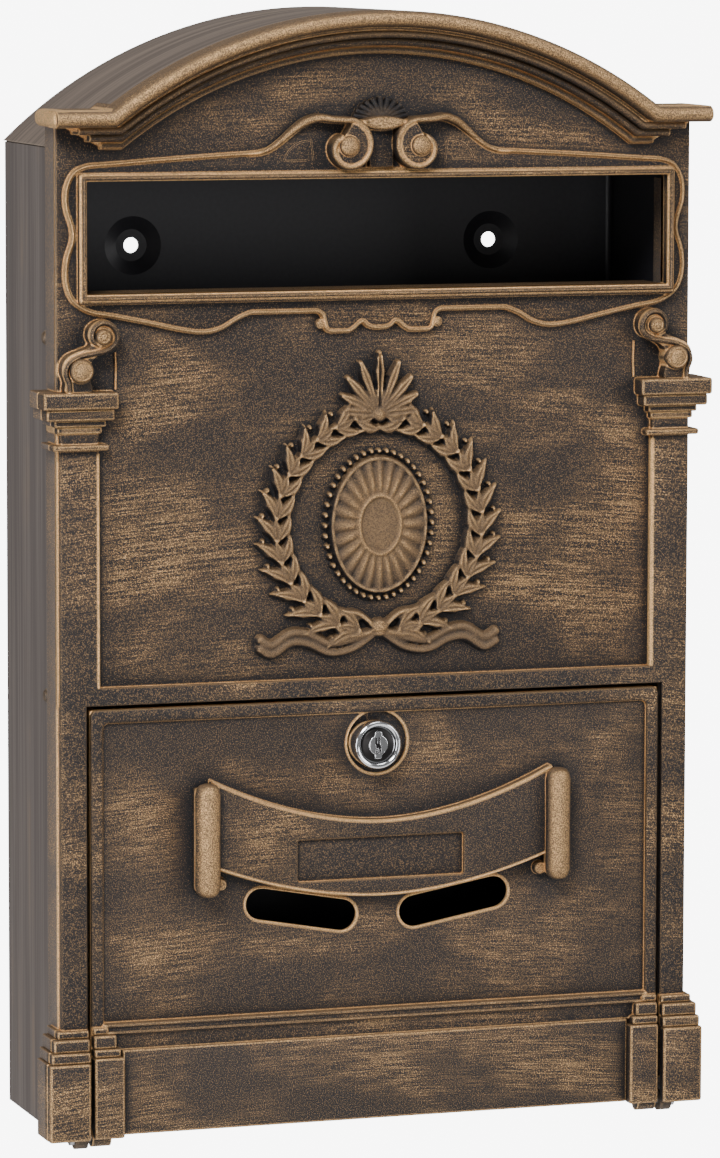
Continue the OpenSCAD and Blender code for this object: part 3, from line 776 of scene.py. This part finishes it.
def s_scroll(piece, side):
    """The S shaped scroll that stands on a capital, proud of the field."""
    body = smooth([(110.4, 273.4), (111.0, 279.0), (110.2, 284.6), (106.2, 287.8), (101.8, 289.8),
                   (100.2, 293.6), (101.8, 297.8), (106.2, 299.4), (110.4, 297.4), (111.6, 293.6),
                   (110.6, 290.4), (114, 288.8), (118.6, 287.0), (120.8, 284.2), (121.2, 280.6),
                   (120.0, 277.2), (119.6, 273.4)], 5, closed=True)
    piece.plate(anticlockwise(flip(body, side)), -3.6, FIELD_BACK, 0.9, segments=4)
    band = half_round(2.3, -3.2, -5.0)
    upper = smooth([(107.0, 290.6), (110.0, 292.4), (109.8, 296.2), (107.0, 298.4), (103.6, 297.8),
                    (101.3, 294.8), (101.5, 291.4), (104.4, 288.9), (109.4, 287.6), (115.2, 286.4),
                    (119.0, 284.0), (120.1, 280.6), (119.0, 277.2), (118.7, 273.4)], 6)
    piece.sweep(flip(upper, side), band)
    piece.finish = 1
    for x, z, r, top in ((106.4, 293.5, 2.9, -6.9), (114.5, 281.4, 4.4, -6.9)):
        dome = [(r, FIELD_Y), (r, top + 1.8), (r - 0.35, top + 0.9), (r - 1.0, top + 0.35),
                (r - 1.5, top + 0.5), (r - 2.0, top + 0.15), (0.3, top)]
        piece.lathe(dome, side * x, z, 30)
    piece.sweep(flip([(100.0, 274), (99.8, 281), (100.0, 287.4)], side),
                half_round(0.5, FIELD_Y - 0.6, FIELD_Y - 0.4))
    piece.finish = 0


def pilaster(piece, side):
    for inner, outer, front, low, top, r in CAPITAL:
        piece.block(*across(side, inner, outer), front, FIELD_Y + 1.6, low, top, r)
        piece.block(*across(side, CAST_HW - 3, outer - 0.04), FIELD_Y + 0.8, 15, low + 0.04, top - 0.04, 0.6)
    s_scroll(piece, side)
    for outer, front, low, top, r in PLINTH:
        piece.block(*across(side, OPEN_HW, outer), front, front + 4.4, low, top, r)
        piece.block(*across(side, STILE_OUT - 1, outer - 0.04), front + 3.8, 13.6, low + 0.04,
                    top - 0.04, 0.5)


def panel_edge(piece):
    """Both stiles and the cross rail in one, and the bright bevel beside the recessed panel."""
    outline = [(STILE_OUT, 9), (STILE_OUT, 262), (STILE_IN, 262), (STILE_IN, PANEL_Z0)]
    outline = [(OPEN_HW, OPEN_Z), (OPEN_HW, 9)] + outline + mirrored(outline)
    piece.plate(outline + [(-OPEN_HW, 9), (-OPEN_HW, OPEN_Z)], 0, FIELD_BACK, 0.8)
    piece.finish = 1
    for side in (-1, 1):
        piece.sweep(flip([(PANEL_HW - 0.2, PANEL_Z0), (PANEL_HW - 0.2, 251)], side),
                    half_round(1.3, 1.6, -0.1))
    piece.finish = 0


front = Piece("front_casting_detailed")
cornice(front)
field(front)
slot_frame(front)
cartouche(front)
top_leaf(front)
panel_edge(front)
for side in (-1, 1):
    pilaster(front, side)
front_object = front.build((CAST, RUBBED_AND_LIT, UNRUBBED_SHADE), "housing")
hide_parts("front_casting")


# ---- door

def banner_curve(middle_z, lift, half_width):
    """One edge of the ribbon: flat in the middle and turning up towards the ends."""
    xs = np.linspace(-half_width, half_width, 41)
    return [(x + BANNER_SHIFT, middle_z + lift * abs(x / 62.0) ** 1.9) for x in xs]


BANNER_Y = -3.2
ROLL_X = 68.0
BANNER_SHIFT = 0.8       # the ribbon sits a little right of the door's middle
VIEW_A = (-45.2, 83.2)
VIEW_B = (-14.2, 77.6)
VIEW_R = 6.2
LOCK_SEAT = (-0.4, LOCK_Z)
NAME_BOX = (-32.4, 32.2, 91.2, 106.9)


def view_slot(side):
    """A slanted window with round ends, clockwise seen from the front."""
    tilt = math.degrees(math.atan2(VIEW_B[1] - VIEW_A[1], VIEW_B[0] - VIEW_A[0]))
    left_end = arc(*VIEW_A, VIEW_R, 90 + tilt, 270 + tilt, 12)
    right_end = arc(*VIEW_B, VIEW_R, -90 + tilt, 90 + tilt, 12)
    points = left_end + right_end
    return points if side < 0 else mirrored(points)


def door_plates(piece):
    lock_hole = arc(*LOCK_SEAT, 11.9, 0, 352.5, 47)
    piece.plate(arc(*LOCK_SEAT, 12.4, 0, 352.5, 47), RECESS_Y + 1.0, DOOR_BACK, 0.1,
                [arc(LOCK_X, LOCK_Z, 8.3, 0, 350, 35)])
    piece.sweep(lock_hole, half_round(0.8, RECESS_Y + 0.2, RECESS_Y - 0.3), closed=True)
    holes = [view_slot(-1), view_slot(1), lock_hole]
    piece.plate(rect(-DOOR_HW + 0.1, DOOR_HW - 0.1, 40.5, DOOR_Z1 - 0.1, 2.2), RECESS_Y, DOOR_BACK, 0.3,
                holes, hole_rim=0.3)
    piece.block(-DOOR_HW, DOOR_HW, 2.6, DOOR_BACK, DOOR_Z0, 41.5, 0.3)
    frame_edge = ([(RECESS_HW, 38), (DOOR_HW, 38)] + arc(DOOR_HW - 2.4, DOOR_Z1 - 2.4, 2.4, 0, 90, 5)
                  + arc(-DOOR_HW + 2.4, DOOR_Z1 - 2.4, 2.4, 90, 180, 5) + [(-DOOR_HW, 38), (-RECESS_HW, 38)]
                  + arc(-RECESS_HW + 2.2, RECESS_Z1 - 2.2, 2.2, 180, 90, 5)
                  + arc(RECESS_HW - 2.2, RECESS_Z1 - 2.2, 2.2, 90, 0, 5))
    piece.plate(frame_edge, 0, DOOR_BACK - 0.3, 0.8)
    moulding = [(32.2, 2.4), (32.2, 1.2), (36.2, 1.1), (37.6, 0.7), (38.1, 0.3), (38.3, -0.1),
                (38.6, -0.3), (39.0, -0.25), (39.3, 0.1), (40.6, 0.1), (40.8, -0.4), (41.2, -0.75),
                (41.7, -0.75), (42.1, -0.3), (42.3, 0.4), (42.5, 1.4), (42.5, 3.4)]
    piece.sweep([(-RECESS_HW - 0.5, 0), (RECESS_HW + 0.5, 0)], moulding + [(32.2, 3.4)])
    piece.block(-KICK_HW, KICK_HW, -0.2, DOOR_BACK, DOOR_Z0, KICK_Z1, 0.8)
    piece.finish = 1
    for side in (-1, 1):
        hole = view_slot(side)
        piece.sweep(hole, half_round(0.85, RECESS_Y + 0.2, RECESS_Y - 0.4, 6), closed=True)
    piece.finish = 0


DOOR_PLINTH = [
    # inner half width, front, underside, top
    (98.6, -3.5, 0.1, 30.2),
    (99.8, -2.9, 30.2, 33.4),
    (101.3, -2.3, 33.4, 38.4),
    (104.2, -1.3, 38.4, 41.2),
]


def door_edges(piece):
    """Turned-back rim, plinth blocks and hinge lugs."""
    for side in (-1, 1):
        piece.block(*across(side, DOOR_HW - 2.5, DOOR_HW), RECESS_Y + 0.3, DOOR_RIM, 8, DOOR_Z1 - 0.2, 0.4)
        for inner, front_y, low, top in DOOR_PLINTH:
                piece.block(*across(side, inner, DOOR_HW - 0.2), front_y, DOOR_BACK - 1, low, top, 0.9)
        piece.lathe([(3.5, side * 103.0), (3.5, side * 110.1)], 0, 0, 28, axis="x", cy=3.0)
    piece.block(-DOOR_HW + 0.6, DOOR_HW - 0.6, RECESS_Y + 0.3, DOOR_RIM, DOOR_Z1 - 2.5, DOOR_Z1 - 0.1, 0.4)
    piece.block(-KICK_HW, KICK_HW, RECESS_Y + 0.3, 8, 12, 14.5, 0.3)


def banner(piece):
    top = banner_curve(113.2, 15.4, 66)
    low = banner_curve(84.6, 12.0, 66)
    name_hole = rect(*NAME_BOX, 1.0)
    piece.plate(low + top[::-1], BANNER_Y, RECESS_Y + 0.5, 0.8, [name_hole], hole_rim=0.5)
    x0, x1, z0, z1 = NAME_BOX
    piece.plate(rect(x0 - 1, x1 + 1, z0 - 1, z1 + 1), BANNER_Y + 1.6, RECESS_Y + 0.4, 0.2)
    piece.finish = 1
    line = half_round(0.8, BANNER_Y + 0.4, BANNER_Y - 0.3)
    piece.sweep([(x, z - 0.6) for x, z in top], line)
    piece.sweep([(x, z + 0.6) for x, z in low], line)
    for side in (-1, 1):
        profile = [(1.6, 87.7), (3.2, 88.3), (4.2, 89.6), (4.75, 91.8), (4.6, 108), (4.75, 125.4),
                   (4.2, 127.8), (3.2, 129.0), (1.6, 129.6)]
        middle = side * ROLL_X + BANNER_SHIFT
        piece.lathe(profile, middle, 0, 30, axis="z", cy=-4.0)
        piece.block(middle - 4.3, middle + 4.3, -3.8, RECESS_Y + 0.4, 89.6, 127.8, 1.2)
        # The hook under the ribbon beside the roll
        piece.lathe([(0.5, -1.8), (2.0, -1.5), (2.6, -0.2), (2.6, RECESS_Y + 0.3)], side * 62.2
                    + BANNER_SHIFT, 91.6, 20)
    piece.finish = 0


door = Piece("door_casting_detailed")
door_plates(door)
door_edges(door)
banner(door)
door_object = door.build((CAST, RUBBED_AND_LIT), "door")
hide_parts("door_casting")

# ---- crest

NOTHING = -9.0           # lower than any form, where a stroke doesn't reach
SUNK = -0.6              # cells that no form covers lie this far under the panel
KEPT = -0.45             # cells higher than this become part of the crest


class Relief:
    """A height map over the panel, in mm above its surface, painted shape by shape."""

    def __init__(self, half_width, z0, z1, cell):
        self.xs = np.arange(-half_width, half_width + cell / 2, cell)
        self.zs = np.arange(z0, z1 + cell / 2, cell)
        self.x, self.z = np.meshgrid(self.xs, self.zs)
        self.h = np.full(self.x.shape, SUNK)

    def window(self, points, margin):
        pts = np.array(points)
        low, high = pts.min(0) - margin, pts.max(0) + margin
        i0, i1 = np.searchsorted(self.xs, (low[0], high[0]))
        j0, j1 = np.searchsorted(self.zs, (low[1], high[1]))
        return (slice(max(j0, 0), j1 + 1), slice(max(i0, 0), i1 + 1))

    @staticmethod
    def to_segment(x, z, a, b):
        """The distance of each cell to a segment, and how far along it the nearest point is."""
        dx, dz = b[0] - a[0], b[1] - a[1]
        size = max(dx * dx + dz * dz, 1e-9)
        t = np.clip(((x - a[0]) * dx + (z - a[1]) * dz) / size, 0, 1)
        return np.hypot(x - a[0] - t * dx, z - a[1] - t * dz), t * math.sqrt(size)

    def stroke(self, path, widths, base, crown, sides=(1, -1)):
        """A rounded bead along a path; widths is its half width at both ends."""
        w0, w1 = widths if isinstance(widths, tuple) else (widths, widths)
        for side in sides:
            pts = flip(path, side)
            lengths = np.cumsum([0] + [math.dist(a, b) for a, b in zip(pts, pts[1:])])
            win = self.window(pts, max(w0, w1) + 0.5)
            x, z = self.x[win], self.z[win]
            best = np.full(x.shape, NOTHING)
            for i, (a, b) in enumerate(zip(pts, pts[1:])):
                d, along = self.to_segment(x, z, a, b)
                w = w0 + (w1 - w0) * ((lengths[i] + along) / lengths[-1])
                ratio = d / np.maximum(w, 0.05)
                bead = base + crown * np.sqrt(np.clip(1 - ratio ** 2, 0, 1))
                best = np.maximum(best, np.where(ratio < 1, bead, NOTHING))
            self.h[win] = np.maximum(self.h[win], best)

    def ball(self, x, z, r, base, crown, sides=(1, -1)):
        self.stroke([(x, z - 0.01), (x, z + 0.01)], r, base, crown, sides)

    def groove(self, path, width, deep, sides=(1, -1)):
        """Cuts a round-bottomed line into what is already there."""
        for side in sides:
            pts = flip(path, side)
            win = self.window(pts, width + 0.5)
            x, z = self.x[win], self.z[win]
            cut = np.zeros(x.shape)
            for a, b in zip(pts, pts[1:]):
                d, _ = self.to_segment(x, z, a, b)
                cut = np.maximum(cut, np.clip(1 - (d / width) ** 2, 0, 1))
            self.h[win] -= deep * cut

    def soften(self):
        """Blurs the map by about one cell each way."""
        for axis in (0, 1):
            pad = np.concatenate([self.h.take([0], axis), self.h, self.h.take([-1], axis)], axis)
            count = self.h.shape[axis]
            self.h = (pad.take(range(count), axis) + 2 * self.h + pad.take(range(2, count + 2), axis)) / 4


WREATH_Z = 222           # middle of the wreath and the boss
WREATH_R = 40            # radius of the wreath's stems
CELL = 0.38              # width of the height map's cells


def leaf(r, foot, angle, length, width):
    """One laurel leaf with a raised middle and a fine vein, drawn on both halves of the panel."""
    dx, dz = math.cos(angle), math.sin(angle)
    points = []
    for k in range(9):
        t = k / 8
        bend = 0.10 * length * math.sin(math.pi * t)
        points.append((foot[0] + dx * length * t - dz * bend, foot[1] + dz * length * t + dx * bend))
    half = len(points) // 2
    r.stroke(points[:half + 1], (0.35, width), 0.9, 2.7)
    r.stroke(points[half:], (width, 0.2), 0.9, 2.7)
    r.groove(points[1:-1], 0.55, 1.0)


def paint_wreath(r):
    """Two laurel branches, tied at the foot and nearly meeting at the top."""
    r.stroke(arc(0, WREATH_Z, WREATH_R, -88, 80, 60), (1.3, 0.7), 1.0, 1.5)
    groups = 14
    for k in range(groups):
        turn = math.radians(-80 + 156 * k / (groups - 1))
        foot = (WREATH_R * math.cos(turn), WREATH_Z + WREATH_R * math.sin(turn))
        way = turn + math.pi / 2
        size = 14.2 - 3.2 * k / groups
        leaf(r, foot, way - 0.56, size, 2.5)
        leaf(r, foot, way + 0.56, size, 2.5)
        leaf(r, foot, way, size * 0.8, 1.9)
        for reach, aside in ((1.4, 4.9), (1.4, -4.9)):
            x = foot[0] + reach * math.cos(way) + aside * math.cos(turn)
            z = foot[1] + reach * math.sin(way) + aside * math.sin(turn)
            r.ball(x, z, 0.95, 1.0, 1.6)


def paint_boss(r):
    """A fluted oval boss with a plain middle and a beaded rim."""
    wide, tall = 18.0, 24.5
    oval = ((r.x / wide) ** 2 + ((r.z - WREATH_Z) / tall) ** 2) ** 0.5
    turn = np.arctan2((r.z - WREATH_Z) / tall, r.x / wide)
    flutes = 1.1 * np.abs(np.cos(12 * turn)) * np.clip((oval - 0.42) / 0.2, 0, 1)
    dome = 0.9 + 2.2 * np.sqrt(np.clip(1 - oval ** 2, 0, 1)) + flutes
    r.h = np.where(oval < 0.98, np.maximum(r.h, dome), r.h)
    for scale, width, base, crown in ((1.0, 1.0, 1.5, 1.3), (0.44, 0.75, 3.0, 0.8)):
        ring = [(wide * scale * x, WREATH_Z + tall * scale * z) for x, z in arc(0, 0, 1, 0, 360, 72)]
        r.stroke(ring, width, base, crown, sides=(1,))
    for k in range(44):
        turn = 2 * math.pi * k / 44
        r.ball((wide + 2.7) * math.cos(turn), WREATH_Z + (tall + 2.7) * math.sin(turn), 1.15, 0.9, 1.7,
               sides=(1,))


def paint_palmette(r):
    """Nine plain lobes in a fan above the wreath, on two small scrolls."""
    foot = (0, 262.5)
    for k in range(5):
        turn = math.radians(90 - 21 * k)
        reach = 22.5 - 2.2 * k
        bulge, tip = ((foot[0] + far * math.cos(turn), foot[1] + far * math.sin(turn))
                      for far in (0.72 * reach, reach))
        r.stroke([foot, bulge], (0.6, 2.3), 0.9, 2.7)
        r.stroke([bulge, tip], (2.3, 1.2), 0.9, 2.7)
        r.groove([foot, bulge, tip], 0.6, 1.0)
    r.ball(0, foot[1], 3.0, 1.4, 2.3, sides=(1,))
    scroll = [(4.6 + (4.2 - 0.5 * k) * math.cos(0.62 * k + 3.3),
               258.6 + (3.4 - 0.4 * k) * math.sin(0.62 * k + 3.3))
              for k in range(8)]
    r.stroke(smooth(scroll, 4), (1.1, 0.6), 1.2, 1.6)


def paint_ribbon(r):
    """The knot at the wreath's foot, with two loops and two folded ends."""
    loop = smooth([(2.2, 184), (8, 189.4), (14.6, 189.6), (16.4, 185), (12, 181.6), (6, 181.8)], 6,
                  closed=True)
    r.stroke(loop + loop[:1], 1.25, 1.4, 2.0)
    for rise in (0, 3.4):
        tail = smooth([(2, 181.6 + rise * 0.3), (10, 176.6 + rise), (19, 175.4 + rise), (27, 179 + rise),
                       (34, 179.6 + rise), (41, 175.6 + rise), (45.5, 177.6 + rise)], 6)
        r.stroke(tail, (1.6, 2.0), 1.0, 1.9)
    r.ball(0, 184, 3.6, 1.8, 2.4, sides=(1,))
    for z in (182.6, 185.4):
        r.groove([(-3, z), (3, z)], 0.45, 0.5, sides=(1,))


def crest_piece():
    relief = Relief(58, 166.4, 293.2, CELL)
    for paint in (paint_ribbon, paint_wreath, paint_boss, paint_palmette):
        paint(relief)
    relief.soften()
    height = relief.h
    solid = height > KEPT
    used = solid[:-1, :-1] | solid[1:, :-1] | solid[:-1, 1:] | solid[1:, 1:]
    piece = Piece("crest_relief")
    bm = piece.bm
    fronts, backs = {}, {}
    back_y = FIELD_Y + 2.2
    for j, i in zip(*np.nonzero(used)):
        for jj, ii in ((j, i), (j, i + 1), (j + 1, i + 1), (j + 1, i)):
            if (jj, ii) not in fronts:
                x, z = relief.xs[ii], relief.zs[jj]
                fronts[jj, ii] = bm.verts.new(place((x, FIELD_Y - height[jj, ii], z)))
                backs[jj, ii] = bm.verts.new(place((x, back_y, z)))
        corners = ((j, i), (j, i + 1), (j + 1, i + 1), (j + 1, i))
        bm.faces.new([fronts[c] for c in corners])
        bm.faces.new([backs[c] for c in reversed(corners)])
        for (dj, di), (a, b) in (((-1, 0), (0, 1)), ((0, 1), (1, 2)), ((1, 0), (2, 3)), ((0, -1), (3, 0))):
            nj, ni = j + dj, i + di
            if 0 <= nj < used.shape[0] and 0 <= ni < used.shape[1] and used[nj, ni]:
                continue
            fronts_a, fronts_b = fronts[corners[a]], fronts[corners[b]]
            bm.faces.new((fronts_b, fronts_a, backs[corners[a]], backs[corners[b]]))
    flat = [f for f in bm.faces if all(abs(v.co.y - depth(back_y)) < 1e-7 for v in f.verts)]
    bmesh.ops.dissolve_faces(bm, faces=flat)
    return piece.build(CREST, "housing", angle=60)


crest_piece()

# ---- lock

barrel = Piece("lock_barrel_detailed")
face = LOCK_FACE
ring_out = LOCK_R
barrel.lathe([(6.75, face + 2.2), (6.75, face + 1.1), (7.0, face + 0.55), (7.5, face + 0.15), (8.0, face),
              (8.5, face + 0.2), (8.85, face + 0.7), (ring_out, face + 1.5), (ring_out, 1.7),
              (ring_out - 0.4, 2.0), (8.0, 2.05), (8.0, 16.2), (6.6, 16.2),
              (6.6, face + 2.6)], LOCK_X, LOCK_Z, 64)
barrel_object = barrel.build(CHROME, "door")
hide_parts("lock_barrel")

plug = Piece("lock_plug_detailed")
plug_front = face + 1.0
plug.lathe([(6.35, 16.6), (6.35, plug_front + 0.5), (6.1, plug_front + 0.15), (5.8, plug_front),
            (0.3, plug_front)],
           LOCK_X, LOCK_Z, 56)
plug_object = plug.build(DARK_CHROME, "plug")
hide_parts("lock_plug")

# The bright middle of the plug: a disc with a tab above and below and a forked keyway
middle = Piece("lock_keyway")
tabs = []
for start in (0, 180):
    tabs += arc(0, 0, 3.7, start - 66, start + 66, 20)
    far = 1 if start == 0 else -1
    tabs += [(far * 1.5, far * 3.6), (far * 1.4, far * 4.6), (far * 0.9, far * 5.1),
             (-far * 0.9, far * 5.1), (-far * 1.4, far * 4.6)]
outline = [(LOCK_X + x, LOCK_Z + z) for x, z in tabs]
keyway = [(-0.95, -3.1), (-0.45, -3.3), (-0.30, -1.2), (0.25, -1.0), (0.30, -3.0), (0.95, -3.2),
          (1.0, -0.4), (0.5, 0.1), (0.55, 2.9), (0.1, 3.1), (-0.05, 0.6), (-0.5, 0.5), (-0.65, 2.9),
          (-1.15, 2.7), (-1.2, 0.3), (-0.8, -0.4)]
hole = [(LOCK_X + x, LOCK_Z + z) for x, z in keyway]
middle.plate(outline, plug_front - 0.45, plug_front + 0.4, 0.25, [hole], hole_rim=0.1)
middle.build(CHROME, "plug")

# ---- sheets and small parts

SOFT_EDGE = 0.22         # rounding of the sheets' and small parts' edges
LOOKS = {
    # The floor pan gets the near-black painted shade of the box's inside
    "body_shell": SIDES, "roof_sheet": ROOF, "floor_pan": INSIDE_SHADE_BLACK, "side_rivets": BRACKET,
    "hinge_bracket_left": BRACKET, "hinge_bracket_right": BRACKET, "bracket_rivets": BRACKET,
    "hinge_pin_left": STEEL, "hinge_pin_right": STEEL, "lock_nut": STEEL, "cam_washer": STEEL,
    "lock_cam": STEEL, "cam_screw": STEEL,
}


def paint_inside_shade(node, is_inside):
    """Gives the faces of a sheet that look into the box the near-black material, painted shade for the dark
    inside of the box.
    """
    node.data.materials.append(INSIDE_SHADE_BLACK)
    for polygon in node.data.polygons:
        x, y, z = polygon.center
        if is_inside(x / MM, y / MM - Y_ZERO, z / MM - Z_ZERO, polygon.normal):
            polygon.material_index = 1


def shell_inside(x, y, _z, normal):
    back_wall = normal.y < -0.3 and y > SHEET_Y + 2
    side_wall = abs(x) < BODY_HW - SHEET_T * 0.6 and x * normal.x < 0 and abs(normal.x) > 0.3
    return back_wall or side_wall


def roof_inside(x, y, z, _normal):
    return math.hypot(x, z - ARCH_CZ) < ARCH_R - SHEET_T * 0.6 and y > 0.8 and abs(x) < SHOULDER_X + 3


for name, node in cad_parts.items():
    if name in LOOKS:
        node.data.materials.clear()
        node.data.materials.append(LOOKS[name])
        soft_edges = node.modifiers.new("soft edges", "BEVEL")
        soft_edges.width = SOFT_EDGE * MM
        soft_edges.segments = 2
        soft_edges.limit_method = "ANGLE"
        soft_edges.angle_limit = math.radians(40)
# The sheets' faces that look into the box are painted near black as shade
paint_inside_shade(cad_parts["body_shell"], shell_inside)
paint_inside_shade(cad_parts["roof_sheet"], roof_inside)

# ---- camera and lighting

EYE = (-670.77, -1990.14, 445.26)                     # where the camera stands, mm
YAW, PITCH, ROLL = 0.321642, -0.115319, 0.0021589     # how it is turned, radians
FOCAL_LENGTH = 179.03
SENSOR_WIDTH = 36

eye = Vector(place(EYE))
ahead = Vector((math.sin(YAW) * math.cos(PITCH), math.cos(YAW) * math.cos(PITCH), math.sin(PITCH)))
right = Vector((math.cos(YAW), -math.sin(YAW), 0))
up = right.cross(ahead)
right, up = (math.cos(ROLL) * right + math.sin(ROLL) * up, -math.sin(ROLL) * right + math.cos(ROLL) * up)
camera = bpy.data.objects.new("camera", bpy.data.cameras.new("camera"))
camera.data.sensor_width = SENSOR_WIDTH
camera.data.lens = FOCAL_LENGTH
camera.data.clip_start = 0.05
camera.data.clip_end = 200
camera.matrix_world = Matrix.Translation(eye) @ Matrix((right, up, -ahead)).transposed().to_4x4()
bpy.context.scene.collection.objects.link(camera)
bpy.context.scene.camera = camera


def softbox(name, where, target, size, power):
    lamp = bpy.data.lights.new(name, "AREA")
    lamp.shape = "RECTANGLE"
    lamp.size, lamp.size_y = size
    lamp.energy = power
    holder = bpy.data.objects.new(name, lamp)
    holder.location = where
    holder.rotation_euler = (Vector(target) - Vector(where)).to_track_quat("-Z", "Y").to_euler()
    holder.visible_camera = False
    bpy.context.scene.collection.objects.link(holder)


softbox("top", (0.2, -0.3, 1.9), (0, -0.04, 0.1), (1.0, 1.0), 16)
softbox("key_left_top", (-1.1, -1.5, 1.5), (0, -0.05, 0.02), (0.8, 0.8), 52)
softbox("fill_right", (1.5, -1.2, 0.4), (0, -0.05, 0), (0.7, 1.3), 15)
softbox("front_low", (-0.3, -2.2, -0.2), (0, -0.05, 0), (1.0, 0.8), 8)
softbox("side_left", (-1.8, -0.2, -0.2), (0, -0.03, -0.05), (0.8, 1.4), 20)

WHITE = 8.0              # how bright the empty background is to the camera
DAYLIGHT = 0.22          # and to everything else
FLOOR_R = 470            # mm
FLOOR_LEVEL = -0.36      # m

floor_mesh = bpy.data.meshes.new("floor")
rim_points = [(x * MM, y * MM, FLOOR_LEVEL) for x, y in arc(0, 0, FLOOR_R, 0, 357, 119)]
floor_mesh.from_pydata(rim_points, [], [tuple(range(len(rim_points)))])
floor = bpy.data.objects.new("floor", floor_mesh)
bpy.context.scene.collection.objects.link(floor)
paper = Nodes("pale paper")
paper.shader.inputs["Base Color"].default_value = (0.92, 0.92, 0.92, 1)
paper.shader.inputs["Roughness"].default_value = 0.9
# Towards its rim the floor fades into the white behind, for the eye only
reach = paper.add("ShaderNodeVectorMath", operation="LENGTH")
paper.join(paper.coords((1, 1, 0)), reach.inputs[0])
fade = paper.times(paper.span(reach.outputs["Value"], 0.22, 0.46),
                   paper.add("ShaderNodeLightPath").outputs["Is Camera Ray"])
glow = paper.add("ShaderNodeEmission")
glow.inputs["Strength"].default_value = WHITE
blend = paper.add("ShaderNodeMixShader")
paper.join(fade, blend.inputs[0])
paper.join(paper.shader.outputs[0], blend.inputs[1])
paper.join(glow.outputs[0], blend.inputs[2])
paper.join(blend.outputs[0], paper.tree.nodes["Material Output"].inputs["Surface"])
floor_mesh.materials.append(paper.material)

world = bpy.data.worlds.new("studio")
bpy.context.scene.world = world
world.use_nodes = True
sky = world.node_tree
back = sky.nodes["Background"]
back.inputs["Color"].default_value = (1, 1, 1, 1)
seen = sky.nodes.new("ShaderNodeLightPath")
strength = sky.nodes.new("ShaderNodeMapRange")
strength.inputs["To Min"].default_value = DAYLIGHT
strength.inputs["To Max"].default_value = WHITE
sky.links.new(seen.outputs["Is Camera Ray"], strength.inputs["Value"])
sky.links.new(strength.outputs["Result"], back.inputs["Strength"])
